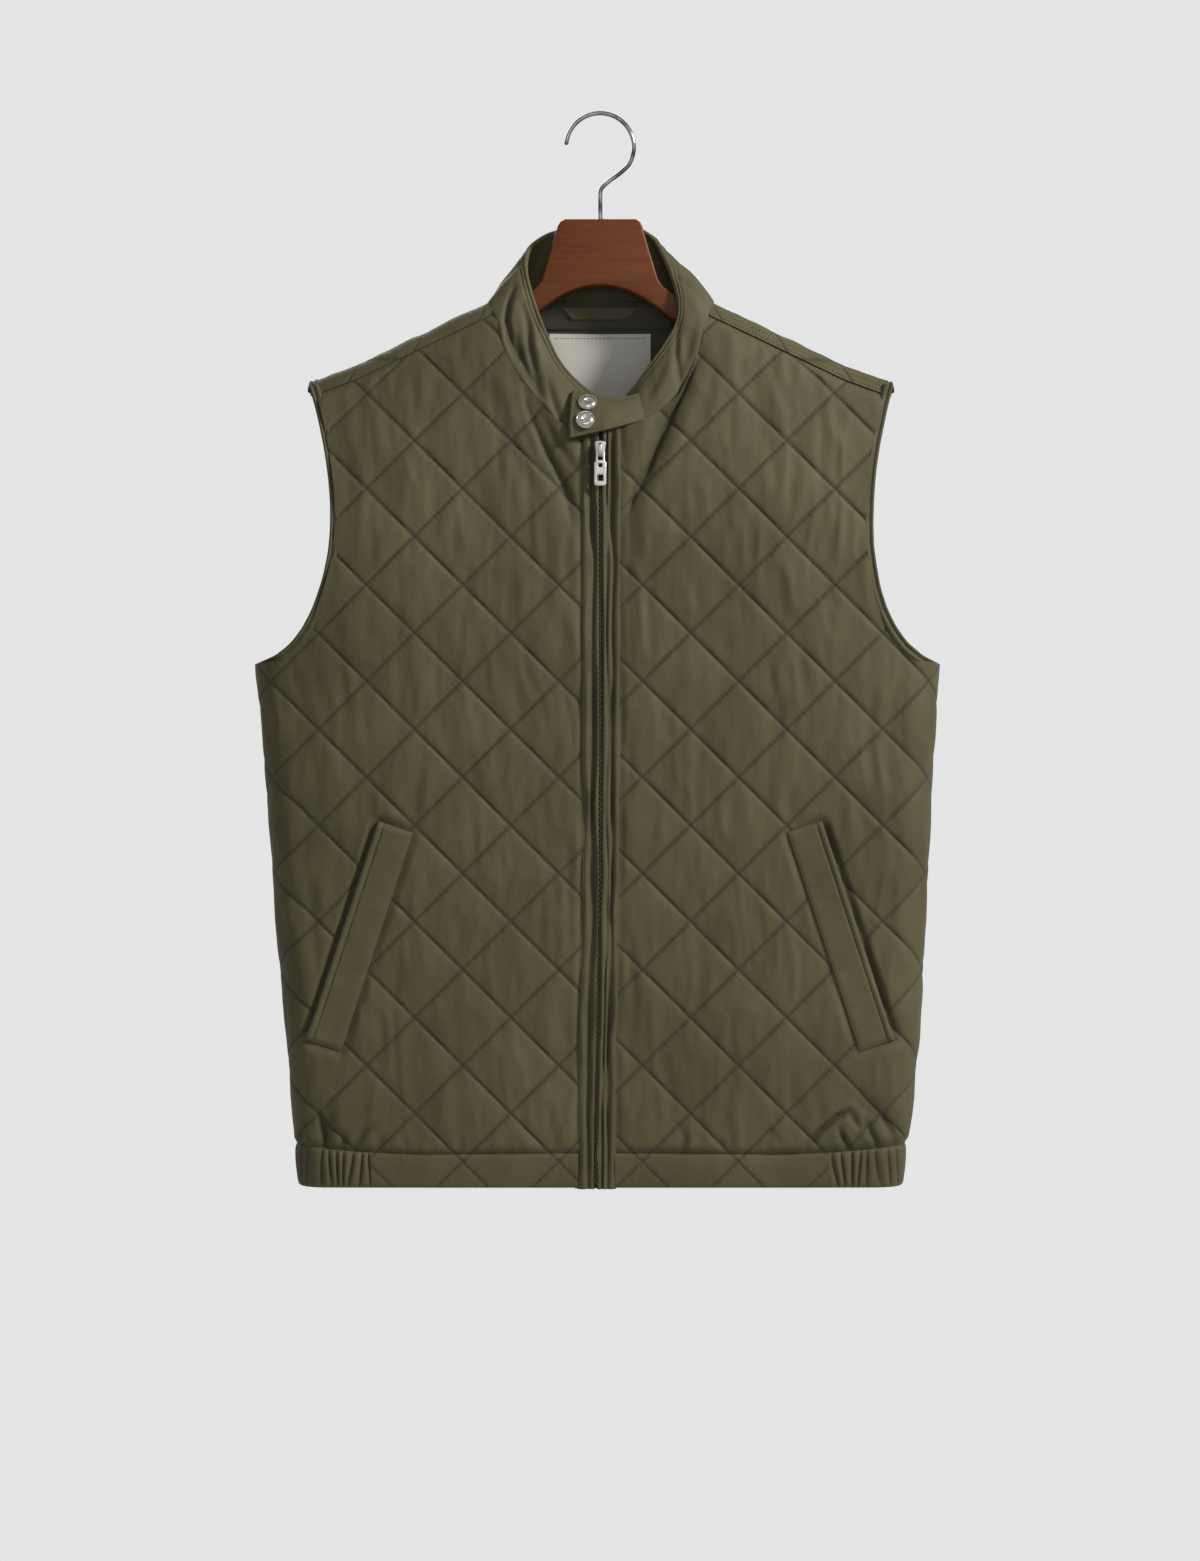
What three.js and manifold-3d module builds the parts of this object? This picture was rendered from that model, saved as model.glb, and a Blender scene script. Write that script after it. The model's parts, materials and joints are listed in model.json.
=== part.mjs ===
// A quilted vest with a stand collar, zipped up, hanging on a wooden hanger with a wire hook.
// Millimetres, +Z up, and the front of the vest faces -Y. Right and left are the wearer's, so right is -X.
// The origin is the inside of the top of the hook, where a rail carries it.
import * as THREE from 'three';
import { mergeVertices } from 'three/addons/utils/BufferGeometryUtils.js';
import Module from 'manifold-3d';

const wasm = await Module();
wasm.setup();

const { abs, acos, asin, cos, exp, floor, max, min, PI, sign, sin, sqrt } = Math;
const FRONT = -1;
const BACK = 1;
const RIGHT = -1;
const LEFT = 1;
const QUARTER = PI / 2;
const FAR = 400;

// Cloth
const CLOTH = {
  wall: 2.6, // shell, padding and lining, pressed together on a quilting line
  puff: 3.6, // how far the middle of a diamond stands above its lines
  seamGap: 0.3,
  sideRadius: 26, // roll of the cloth round the side seam, inside
  shoulderRadius: 14.2, // roll over the hanger's arm, inside
  bodyReach: 150, // distance below the shoulder over which the body opens to its full depth
  sideReach: 110,
  blend: 6, // how sharply the opening from the shoulder and from the side meet
};
const QUILT = {
  pitch: 74.4, // from one crossing of the stitch lines to the next, level or upright
  frontFirstCrossing: 32.3, // from the middle of the front
  crossingZ: -220.7,
};

// Half width of the body to the side seam, and half of its depth, by height
const BODY = [
  { z: -100, right: 272, left: 268, depth: 33 },
  { z: -300, right: 272, left: 268, depth: 37 },
  { z: -431, right: 271, left: 267, depth: 37 },
  { z: -462, right: 267.5, left: 264.2, depth: 36 },
  { z: -537, right: 261, left: 260, depth: 35 },
  { z: -642, right: 253.5, left: 254.8, depth: 33 },
  { z: -728, right: 245.7, left: 250.4, depth: 31 },
  { z: -803, right: 240, left: 241.5, depth: 29 },
  { z: -836, right: 237, left: 238, depth: 28 },
];

// Top line of the shoulder, outside, by distance from the middle
const SHOULDER = [
  { out: 0, z: -110 },
  { out: 84, z: -145.5 },
  { out: 120, z: -162.5 },
  { out: 152, z: -177.8 },
  { out: 191, z: -196.5 },
  { out: 228, z: -210 },
];
const SHOULDER_SLOPE = cos(Math.atan(0.44));
const SHOULDER_SEAM_DROP = 10; // the back panel comes over to a seam this far down the front

// Edge of the armhole, outside its binding, seen from the front
const ARMHOLE = [
  { z: -210, right: 227, left: 228.5 },
  { z: -240, right: 218.5, left: 221 },
  { z: -272, right: 212, left: 214.6 },
  { z: -305, right: 208.3, left: 211.4 },
  { z: -335, right: 208.8, left: 211.1 },
  { z: -355, right: 212, left: 213.5 },
  { z: -375, right: 217.5, left: 217.5 },
  { z: -396, right: 226.2, left: 225.6 },
  { z: -412, right: 237, left: 236.2 },
  { z: -425.5, right: 252, left: 250.3 },
  { z: -431, right: 271, left: 267 },
];
const BINDING = { width: 6.5, gap: 1, stations: 14 };

// The hem: a band sewn below the panels, gathered on elastic round each side
const HEM = {
  bottomZ: -836.5,
  elasticFrom: 177, // distance of the upright seams from the middle, front and back
  gathers: 16, // round each side
  gatherDepth: 2.2,
};
const HEM_SEAM = [
  { out: 0, z: -809 },
  { out: 140, z: -810.5 },
  { out: 190, z: -808 },
  { out: 240, z: -803 },
  { out: 320, z: -803 },
];

// The front zip between two folded strips, which wander to the right near the hem
const ZIP = {
  rightSeam: 13.5,
  leftSeam: 15.5,
  topZ: -258,
  bottomZ: -837.5,
  driftFromZ: -560,
  drift: -3.6,
  tapeWall: 1.2,
  tapeWidth: 17,
  stations: 18,
};
// Sections of the two strips: place across, and height over the panel's inner face
const RIGHT_STRIP = [
  { x: -13.2, lift: 1.8 },
  { x: -10.2, lift: 4.6 },
  { x: -7.4, lift: 3.8 },
  { x: -5.2, lift: 1.7 },
  { x: -2.4, lift: 4.4 },
  { x: -0.8, lift: 2.6 },
];
const LEFT_STRIP = [
  { x: 1.4, lift: 2.6 },
  { x: 3.2, lift: 4.8 },
  { x: 5.2, lift: 3.2 },
  { x: 6.8, lift: 4 },
  { x: 9.6, lift: 2.2 },
  { x: 13, lift: 4.6 },
  { x: 15.2, lift: 1.8 },
];

// Drag lines in the front, from the collar down to the zip
const DRAG_LINES = [
  { x1: 78, z1: -190, x2: 18, z2: -322, depth: 4.5, width: 11 },
  { x1: -64, z1: -212, x2: -17, z2: -318, depth: 4, width: 11 },
  { x1: 236, z1: -800, x2: 196, z2: -768, depth: 3, width: 10 },
  { x1: -215, z1: -806, x2: -213, z2: -778, depth: 3, width: 9 },
];

// Welt pockets: middle line of the welt seen from the front
const POCKET = { topX: 158, topZ: -556.5, bottomX: 214, bottomZ: -726, width: 28, proud: 2.4 };

// The collar from its right end at the zip, round the back, to its left end.
// The seam joins the body and the rim is the free edge; fold is how far the middle stands out.
// On the front the seam lies on the panels' inner face, so those rows leave its depth out.
const COLLAR = [
  { seamX: -2, seamZ: -257, rimX: 8, rimY: -12, rimZ: -225, fold: 1 },
  { seamX: -26.5, seamZ: -256, rimX: -6, rimY: -13, rimZ: -219, fold: 1 },
  { seamX: -39, seamZ: -238, rimX: -21, rimY: -14, rimZ: -207.5, fold: 3 },
  { seamX: -51, seamZ: -224, rimX: -33, rimY: -15, rimZ: -192, fold: 0 },
  { seamX: -62.4, seamZ: -211.4, rimX: -42.1, rimY: -16, rimZ: -171.6, fold: 4 },
  { seamX: -72, seamZ: -194, rimX: -48, rimY: -15, rimZ: -156, fold: -1 },
  { seamX: -78.5, seamZ: -176, rimX: -52.5, rimY: -13, rimZ: -141, fold: 3 },
  { seamX: -81.5, seamY: -13.2, seamZ: -158, rimX: -55.5, rimY: -10, rimZ: -128, fold: 0 },
  { seamX: -84.5, seamY: -7.5, seamZ: -149, rimX: -56, rimY: -6, rimZ: -119, fold: 1 },
  { seamX: -83.5, seamY: 3, seamZ: -145.5, rimX: -55, rimY: 0, rimZ: -110, fold: 1 },
  { seamX: -76, seamY: 13, seamZ: -144.5, rimX: -51, rimY: 7, rimZ: -101, fold: 2 },
  { seamX: -54, seamY: 20, seamZ: -145, rimX: -40, rimY: 15, rimZ: -90, fold: 2 },
  { seamX: -28, seamY: 22, seamZ: -145.5, rimX: -22, rimY: 19, rimZ: -85.5, fold: 2 },
  { seamX: 0, seamY: 23, seamZ: -146, rimX: 0, rimY: 20, rimZ: -84, fold: 2 },
  { seamX: 28, seamY: 22, seamZ: -145.5, rimX: 20, rimY: 19, rimZ: -84.5, fold: 2 },
  { seamX: 54, seamY: 20, seamZ: -144.5, rimX: 35, rimY: 16, rimZ: -88, fold: 4 },
  { seamX: 76, seamY: 13, seamZ: -143.5, rimX: 44, rimY: 11, rimZ: -102, fold: 6 },
  { seamX: 84, seamY: 3, seamZ: -144.5, rimX: 49, rimY: 3, rimZ: -114, fold: 5 },
  { seamX: 86, seamY: -7.5, seamZ: -149, rimX: 54, rimY: -6, rimZ: -127, fold: 4 },
  { seamX: 84.5, seamY: -13.4, seamZ: -161, rimX: 58, rimY: -12, rimZ: -140, fold: 3 },
  { seamX: 80.5, seamZ: -180, rimX: 60, rimY: -16, rimZ: -152, fold: 2 },
  { seamX: 70.5, seamZ: -203, rimX: 58.5, rimY: -18, rimZ: -166, fold: -1 },
  { seamX: 60.1, seamZ: -221.5, rimX: 51, rimY: -17, rimZ: -180, fold: 2 },
  { seamX: 47.6, seamZ: -234.8, rimX: 42, rimY: -16, rimZ: -194, fold: 1 },
  { seamX: 33.2, seamZ: -244.1, rimX: 31.5, rimY: -14, rimZ: -210, fold: 1 },
  { seamX: 16, seamZ: -249, rimX: 20.5, rimY: -12, rimZ: -226, fold: 1 },
];
const COLLAR_WALL = 3.4;
const COLLAR_STATIONS = 42;
const COLLAR_ROWS = 3;

// The tab that closes the collar: its left and right ends, from the lower edge to the upper edge
const TAB = [
  { up: 0, leftX: 23, leftZ: -247, rightX: -24, rightZ: -258, y: -41 },
  { up: 0.3, leftX: 24, leftZ: -242, rightX: -24.5, rightZ: -246, y: -38.8 },
  { up: 0.6, leftX: 24, leftZ: -236, rightX: -23.5, rightZ: -233, y: -33.8 },
  { up: 0.85, leftX: 23, leftZ: -231.5, rightX: -22.5, rightZ: -223, y: -27.8 },
  { up: 1, leftX: 22, leftZ: -229, rightX: -21.5, rightZ: -218.5, y: -23.9 },
];
const TAB_WALL = 2.4;
const BUTTON = { radius: 7.5, rise: 3.2, rim: 1.2 };
const BUTTONS = [
  { name: 'collar_button_lower', x: -11.3, up: 0.33 },
  { name: 'collar_button_upper', x: -9.5, up: 0.7 },
];

// Pieces sewn inside the back of the neck
const FACING = { halfWidth: 56, topZ: -147.2, bottomZ: -165, wall: 1.4 };
const LABEL = { halfWidth: 40, topZ: -168.5, bottomZ: -234, wall: 1 };
const LOOP = { topHalf: 30, bottomHalf: 22, topZ: -148, bottomZ: -157, wall: 1.6 };

// Slider and pull tab. The pull turns on a bar that lies under the slider's bridge.
const SLIDER = { x: 0.2, topZ: -258.5, length: 12.5, width: 8.6, thick: 3, bridgeWidth: 2.8, bridgeRise: 5.2 };
const PULL = { width: 9.4, length: 25.5, thick: 1.7, window: 5.8, barRadius: 0.85, holeUpper: 2.6, holeLower: 4.4 };

// The hanger
const WOOD = {
  neckThick: 20,
  armClear: 0.4, // between the arm and the cloth that rests on it
  armTip: 219,
  armHeightNeck: 30,
  armHeightTip: 25,
  boreDepth: 14,
};
const WOOD_OUTLINE = [
  { x: -28, z: -82.6 },
  { x: 29.6, z: -82.6 },
  { x: 33, z: -87 },
  { x: 38.6, z: -107.6 },
  { x: 45.5, z: -130 },
  { x: 60, z: -142 },
  { x: 90, z: -160 },
  { x: 90, z: -178 },
  { x: 70, z: -169 },
  { x: 48.4, z: -154 },
];
const WOOD_ARCH = { halfSpan: 45, apexZ: -134.2, springZ: -152, steps: 10 };
const HOOK = { wire: 1.7, radius: 26.5, startAngle: 173, endAngle: -32, bendZ: -59, shankX: 0.2 };

const COLOURS = {
  shell: { color: 0x59523a, roughness: 0.72, metalness: 0 },
  trim: { color: 0x4d4833, roughness: 0.7, metalness: 0 },
  lining: { color: 0x393424, roughness: 0.8, metalness: 0 },
  label: { color: 0xc4c1b7, roughness: 0.7, metalness: 0 },
  tape: { color: 0x3a3626, roughness: 0.8, metalness: 0 },
  metal: { color: 0xb6b2aa, roughness: 0.3, metalness: 1 },
  wire: { color: 0xc9cacc, roughness: 0.18, metalness: 1 },
  wood: { color: 0x68412b, roughness: 0.4, metalness: 0 },
};

const clamp01 = (value) => min(1, max(0, value));
const ease = (value) => 1 - (1 - clamp01(value)) ** 2;
const mix = (a, b, share) => a + (b - a) * share;
const radians = (degrees) => (degrees * PI) / 180;
const wrap = (value, size) => value - size * floor(value / size);
const sideName = (side) => (side === RIGHT ? 'right' : 'left');

// The value of a table's column, on straight runs between its rows.
function lookUp(table, key, column, at) {
  const rising = table[1][key] > table[0][key];
  let row = 0;
  while (row < table.length - 2 && (rising ? at > table[row + 1][key] : at < table[row + 1][key])) row += 1;
  const [a, b] = [table[row], table[row + 1]];
  return mix(a[column], b[column], clamp01((at - a[key]) / (b[key] - a[key])));
}

const outsideTop = (x) => lookUp(SHOULDER, 'out', 'z', abs(x));
const insideTop = (x) => outsideTop(x) - CLOTH.wall - 1;
const halfWidth = (side, z) => lookUp(BODY, 'z', sideName(side), z) - CLOTH.wall - 1.6;
const flatHalfWidth = (side, z) => halfWidth(side, z) + (QUARTER - 1) * CLOTH.sideRadius;
const hemSeam = (x) => lookUp(HEM_SEAM, 'out', 'z', abs(x));
const zipDrift = (z) => ZIP.drift * ease((ZIP.driftFromZ - z) / (ZIP.driftFromZ - HEM.bottomZ)) ** 2;

// Depth of the drag lines at a point of the front. They stop at the strips of the zip.
function dragDepth(x, z) {
  const clearOfZip = clamp01((abs(x) - ZIP.tapeWidth) / 8);
  let depth = 0;
  for (const line of DRAG_LINES) {
    const alongX = line.x2 - line.x1;
    const alongZ = line.z2 - line.z1;
    const share = ((x - line.x1) * alongX + (z - line.z1) * alongZ) / (alongX ** 2 + alongZ ** 2);
    const near = clamp01(share);
    const away = Math.hypot(x - line.x1 - near * alongX, z - line.z1 - near * alongZ);
    depth += line.depth * exp(-((away / line.width) ** 2));
  }
  return depth * clearOfZip;
}

// Inner face of the front or back: across is measured along the cloth from the middle.
function innerPoint(face, across, z) {
  const side = across < 0 ? RIGHT : LEFT;
  const width = halfWidth(side, z);
  const radius = CLOTH.sideRadius;
  const fromSeam = flatHalfWidth(side, z) - abs(across);
  const angle = min(QUARTER, fromSeam / radius);
  const out = angle < QUARTER ? width - radius * (1 - cos(angle)) : abs(across);
  const below = max((insideTop(out) - z) * SHOULDER_SLOPE, SHOULDER_SEAM_DROP * SHOULDER_SLOPE);
  const depth = lookUp(BODY, 'z', 'depth', z);
  const roll = CLOTH.shoulderRadius;
  const top =
    below < roll
      ? sqrt(roll ** 2 - (roll - below) ** 2)
      : roll + (depth - roll) * ease((below - roll) / CLOTH.bodyReach);
  const towardMiddle = (fromSeam - QUARTER * radius) / CLOTH.sideReach;
  const rise = radius * sin(angle) + (depth - radius) * ease(towardMiddle);
  const power = CLOTH.blend;
  const open = rise <= 0 ? rise : (top ** -power + rise ** -power) ** (-1 / power);
  const x = side * out;
  const drag = face === FRONT ? dragDepth(x, z) * clamp01(rise / radius) : 0;
  return new THREE.Vector3(x, face * (open - drag), z);
}

// A point lifted off the inner face, square to it.
function clothPoint(face, across, z, lift) {
  const step = 0.5;
  const here = innerPoint(face, across, z);
  const along = innerPoint(face, across + step, z).sub(innerPoint(face, across - step, z));
  const up = innerPoint(face, across, z + step).sub(innerPoint(face, across, z - step));
  const outward = along.cross(up).normalize().multiplyScalar(-face);
  return here.addScaledVector(outward, lift);
}

// How far along the cloth a point lies that the front view shows at x.
function acrossAt(x, z) {
  const side = x < 0 ? RIGHT : LEFT;
  const width = halfWidth(side, z);
  const radius = CLOTH.sideRadius;
  if (abs(x) <= width - radius) return x;
  const angle = acos(min(1, max(-1, 1 - (width - abs(x)) / radius)));
  return side * (flatHalfWidth(side, z) - radius * angle);
}

// A point over the top of the shoulder, by angle from level at the front to level at the back.
function shoulderPoint(x, angle, lift) {
  const reach = CLOTH.shoulderRadius + lift;
  const below = CLOTH.shoulderRadius - reach * sin(angle);
  return new THREE.Vector3(x, -reach * cos(angle), insideTop(x) - below / SHOULDER_SLOPE);
}
const shoulderSeamAngle = asin(1 - (SHOULDER_SEAM_DROP * SHOULDER_SLOPE) / CLOTH.shoulderRadius);

// Solids and meshes

function toSolid(geometry) {
  const bare = geometry.index ? geometry.toNonIndexed() : geometry;
  const onlyPlaces = new THREE.BufferGeometry().setAttribute('position', bare.getAttribute('position'));
  const merged = mergeVertices(onlyPlaces, 1e-4);
  const vertProperties = merged.attributes.position.array;
  return new wasm.Manifold(
    new wasm.Mesh({ numProp: 3, vertProperties, triVerts: new Uint32Array(merged.index.array) }),
  );
}

function toGeometry(solid) {
  const mesh = solid.getMesh();
  const places = new Float32Array(mesh.numVert * 3);
  for (let i = 0; i < mesh.numVert; i += 1) {
    places.set(mesh.vertProperties.subarray(i * mesh.numProp, i * mesh.numProp + 3), i * 3);
  }
  const geometry = new THREE.BufferGeometry();
  geometry.setAttribute('position', new THREE.BufferAttribute(places, 3));
  geometry.setIndex(new THREE.BufferAttribute(new Uint32Array(mesh.triVerts), 1));
  geometry.computeVertexNormals();
  return geometry;
}

// A closed wall between an outer and an inner grid of points. The inner grid may leave out rows,
// and a ring joins its last column to its first.
function wall({ columns, rows, outer, inner, innerStep = 1, ring = false, fallingSplit = () => false }) {
  const columnCount = ring ? columns : columns + 1;
  const points = [];
  const outerAt = (i, j) => (i % columnCount) * (rows + 1) + j;
  const innerRows = rows / innerStep;
  const innerStart = columnCount * (rows + 1);
  const innerAt = (i, j) => innerStart + (i % columnCount) * (innerRows + 1) + j;
  for (let i = 0; i < columnCount; i += 1) {
    for (let j = 0; j <= rows; j += 1) points.push(outer(i, j));
  }
  for (let i = 0; i < columnCount; i += 1) {
    for (let j = 0; j <= innerRows; j += 1) points.push(inner(i, j * innerStep));
  }
  const faces = [];
  for (let i = 0; i < columns; i += 1) {
    for (let j = 0; j < rows; j += 1) {
      const [a, b, c, d] = [outerAt(i, j), outerAt(i + 1, j), outerAt(i + 1, j + 1), outerAt(i, j + 1)];
      if (fallingSplit(i, j)) faces.push(a, b, d, b, c, d);
      else faces.push(a, b, c, a, c, d);
    }
    for (let j = 0; j < innerRows; j += 1) {
      const [a, b, c, d] = [innerAt(i, j), innerAt(i + 1, j), innerAt(i + 1, j + 1), innerAt(i, j + 1)];
      faces.push(a, c, b, a, d, c);
    }
    faces.push(outerAt(i + 1, 0), outerAt(i, 0), innerAt(i, 0));
    faces.push(outerAt(i + 1, 0), innerAt(i, 0), innerAt(i + 1, 0));
    faces.push(outerAt(i, rows), outerAt(i + 1, rows), innerAt(i + 1, innerRows));
    faces.push(outerAt(i, rows), innerAt(i + 1, innerRows), innerAt(i, innerRows));
  }
  for (let j = 0; j < innerRows && !ring; j += 1) {
    for (let k = 0; k < innerStep; k += 1) {
      const row = j * innerStep + k;
      faces.push(innerAt(0, j), outerAt(0, row), outerAt(0, row + 1));
      faces.push(innerAt(columns, j), outerAt(columns, row + 1), outerAt(columns, row));
    }
    const last = (j + 1) * innerStep;
    faces.push(innerAt(0, j), outerAt(0, last), innerAt(0, j + 1));
    faces.push(innerAt(columns, j), innerAt(columns, j + 1), outerAt(columns, last));
  }
  return closedGeometry(points, faces);
}

// A geometry from points and faces, with its faces turned out.
function closedGeometry(points, faces) {
  let volume = 0;
  const cross = new THREE.Vector3();
  for (let k = 0; k < faces.length; k += 3) {
    volume += points[faces[k]].dot(cross.crossVectors(points[faces[k + 1]], points[faces[k + 2]]));
  }
  if (volume < 0) {
    for (let k = 0; k < faces.length; k += 3) [faces[k + 1], faces[k + 2]] = [faces[k + 2], faces[k + 1]];
  }
  const geometry = new THREE.BufferGeometry().setFromPoints(points);
  geometry.setIndex(faces);
  geometry.computeVertexNormals();
  return geometry;
}

// A prism along Y from an outline in X and Z.
function prism(outline, fromY, toY) {
  const shape = new THREE.Shape(outline.map(({ x, z }) => new THREE.Vector2(x, z)));
  const geometry = new THREE.ExtrudeGeometry(shape, { depth: toY - fromY, bevelEnabled: false });
  geometry.rotateX(QUARTER);
  geometry.translate(0, toY, 0);
  return toSolid(geometry);
}

const group = new THREE.Group();
function addMesh(name, geometry, finish) {
  const mesh = new THREE.Mesh(geometry, new THREE.MeshStandardMaterial(finish));
  mesh.name = name;
  group.add(mesh);
  return mesh;
}

// Quilting

const QUILT_STEP = QUILT.pitch / 4;
const PUFF_SHARES = [0, 0.75, 1, 0.75];

// How far a point of the quilting grid stands up, from the stitch lines' places in the repeat.
function puff(i, j) {
  return CLOTH.puff * PUFF_SHARES[wrap(i + j, 4)] * PUFF_SHARES[wrap(i - j, 4)];
}
const onFallingLine = (i, j) => wrap(i + j + 1, 4) === 0;

const TOP_ROW = -4;
const ROWS = 36;
const rowZ = (j) => QUILT.crossingZ - QUILT_STEP * (j + TOP_ROW);

// The padding thins to nothing at the seams.
function atSeams(side, across, z, fromMiddle) {
  const fromSide = flatHalfWidth(side, z) - abs(across);
  const near = min(abs(fromSide), abs(z - hemSeam(across)), fromMiddle);
  return clamp01(near / 9);
}

// Outlines that cut the panels

function armholeEdge(side) {
  const key = sideName(side);
  return ARMHOLE.map((row) => ({ x: side * row[key], z: row.z }));
}

// Points of the armhole's edge moved into the cloth.
function armholeMovedIn(side, distance) {
  const edge = armholeEdge(side);
  return edge.map((point, k) => {
    const before = edge[max(0, k - 1)];
    const after = edge[min(edge.length - 1, k + 1)];
    const length = Math.hypot(after.x - before.x, after.z - before.z);
    const inX = (side * (after.z - before.z)) / length;
    const inZ = (-side * (after.x - before.x)) / length;
    return { x: point.x + inX * distance, z: point.z + inZ * distance };
  });
}

function armholeCutter(side) {
  const edge = armholeMovedIn(side, BINDING.width + BINDING.gap);
  const first = edge[0];
  const last = edge[edge.length - 1];
  const outline = [
    { x: first.x, z: 0 },
    ...edge,
    { x: side * FAR, z: last.z - 4 },
    { x: side * FAR, z: 0 },
  ];
  return prism(outline, -FAR, FAR);
}

function shoulderCutter(face) {
  const line = [];
  for (const side of [RIGHT, LEFT]) {
    const rows = side === RIGHT ? [...SHOULDER].reverse() : SHOULDER.slice(1);
    for (const row of rows) {
      const x = side * row.out;
      line.push({ x, z: insideTop(x) - SHOULDER_SEAM_DROP - 1.5 * CLOTH.seamGap });
    }
  }
  const outline = [{ x: -FAR, z: -240 }, ...line, { x: FAR, z: -240 }, { x: FAR, z: 0 }, { x: -FAR, z: 0 }];
  return prism(outline, face < 0 ? -FAR : 0, face < 0 ? 0 : FAR);
}

function hemCutter() {
  const left = HEM_SEAM.map((row) => ({ x: row.out, z: row.z }));
  const right = HEM_SEAM.slice(1).map((row) => ({ x: -row.out, z: row.z }));
  const outline = [...right.reverse(), ...left, { x: 320, z: -FAR * 3 }, { x: -320, z: -FAR * 3 }];
  return prism(outline, -FAR, FAR);
}

// Below the collar's seam, and square past it where the seam turns over the shoulder.
function neckCutter(face) {
  const { seam } = collarCurves();
  const grow = 2 * CLOTH.seamGap;
  const bottomZ = face === FRONT ? -150.4 : -148.6;
  const outline = [];
  for (let i = 0; i <= COLLAR_STATIONS; i += 1) {
    const point = seam.getPoint(i / COLLAR_STATIONS);
    const used = face === FRONT ? point.z < bottomZ : point.y > 0 && abs(point.x) < 81;
    if (used) outline.push({ x: point.x + sign(point.x) * grow, z: point.z - grow });
  }
  const box = [{ x: -87.2, z: bottomZ }, { x: -87.2, z: 0 }, { x: 88.4, z: 0 }, { x: 88.4, z: bottomZ }];
  if (face === FRONT) outline.splice(outline.findIndex((point) => point.x > 0), 0, ...box);
  else outline.push(...box.reverse());
  return face === FRONT ? prism(outline, -FAR, grow) : prism(outline, -grow, FAR);
}

function halfSpaceCutter(face) {
  const gap = CLOTH.seamGap / 2;
  const outline = [{ x: -FAR, z: 100 }, { x: FAR, z: 100 }, { x: FAR, z: -FAR * 3 }, { x: -FAR, z: -FAR * 3 }];
  return face === FRONT ? prism(outline, -gap, FAR) : prism(outline, -FAR, gap);
}

// Corners of a pocket's welt, seen from the front, grown by a margin.
function pocketCorner(side, along, across, margin) {
  const runX = POCKET.bottomX - POCKET.topX;
  const runZ = POCKET.bottomZ - POCKET.topZ;
  const length = Math.hypot(runX, runZ);
  const forward = along * length + (along < 0.5 ? -margin : margin);
  const sideways = across * (POCKET.width / 2 + margin);
  const x = POCKET.topX + (runX * forward - runZ * sideways) / length;
  const z = POCKET.topZ + (runZ * forward + runX * sideways) / length;
  return { x: side * x, z };
}

function pocketPrism(side, margin) {
  const corners = [
    [0, -1],
    [0, 1],
    [1, 1],
    [1, -1],
  ];
  const outline = corners.map(([along, across]) => pocketCorner(side, along, across, margin));
  return prism(outline, -FAR, 0);
}

// Panels

function frontPanel(side) {
  const seam = side === RIGHT ? ZIP.rightSeam : ZIP.leftSeam;
  const columnAt = (i, z) =>
    i === 0 ? side * seam + zipDrift(z) : side * (QUILT.frontFirstCrossing + QUILT_STEP * (i - 1));
  const geometry = wall({
    columns: 15,
    rows: ROWS,
    innerStep: 2,
    outer: (i, j) => {
      const z = rowZ(j);
      const across = columnAt(i, z);
      const raised = i === 0 ? 0 : puff(i - 1, j + TOP_ROW) * atSeams(side, across, z, FAR);
      return clothPoint(FRONT, across, z, CLOTH.wall + raised);
    },
    inner: (i, j) => clothPoint(FRONT, columnAt(i, rowZ(j)), rowZ(j), 0),
    fallingSplit: (i, j) => onFallingLine(i - 1, j + TOP_ROW),
  });
  const solid = toSolid(geometry)
    .subtract(armholeCutter(side))
    .subtract(shoulderCutter(FRONT))
    .subtract(neckCutter(FRONT))
    .subtract(hemCutter())
    .subtract(halfSpaceCutter(FRONT))
    .subtract(pocketPrism(side, CLOTH.seamGap));
  addMesh(`front_panel_${sideName(side)}`, toGeometry(solid), COLOURS.shell);
}

// Places along the shoulder, with every bend of its top line among them.
function shoulderStations(from, to) {
  const bends = SHOULDER.map((row) => row.out).filter((out) => out > from && out < to);
  const ends = [from, ...bends, to];
  const stations = [from];
  for (let k = 1; k < ends.length; k += 1) stations.push((ends[k - 1] + ends[k]) / 2, ends[k]);
  return stations;
}

// The strip of the back panel that comes over the shoulder to the seam on the front.
function shoulderStrip(side) {
  const stations = shoulderStations(74, 226);
  const columns = stations.length - 1;
  const rows = 8;
  const gapAngle = CLOTH.seamGap / CLOTH.shoulderRadius;
  const place = (i) => side * stations[i];
  const angle = (j) => mix(shoulderSeamAngle + gapAngle, PI, j / rows);
  return toSolid(
    wall({
      columns,
      rows,
      outer: (i, j) => shoulderPoint(place(i), angle(j), CLOTH.wall + 0.7),
      inner: (i, j) => shoulderPoint(place(i), angle(j), 0),
    }),
  );
}

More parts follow.
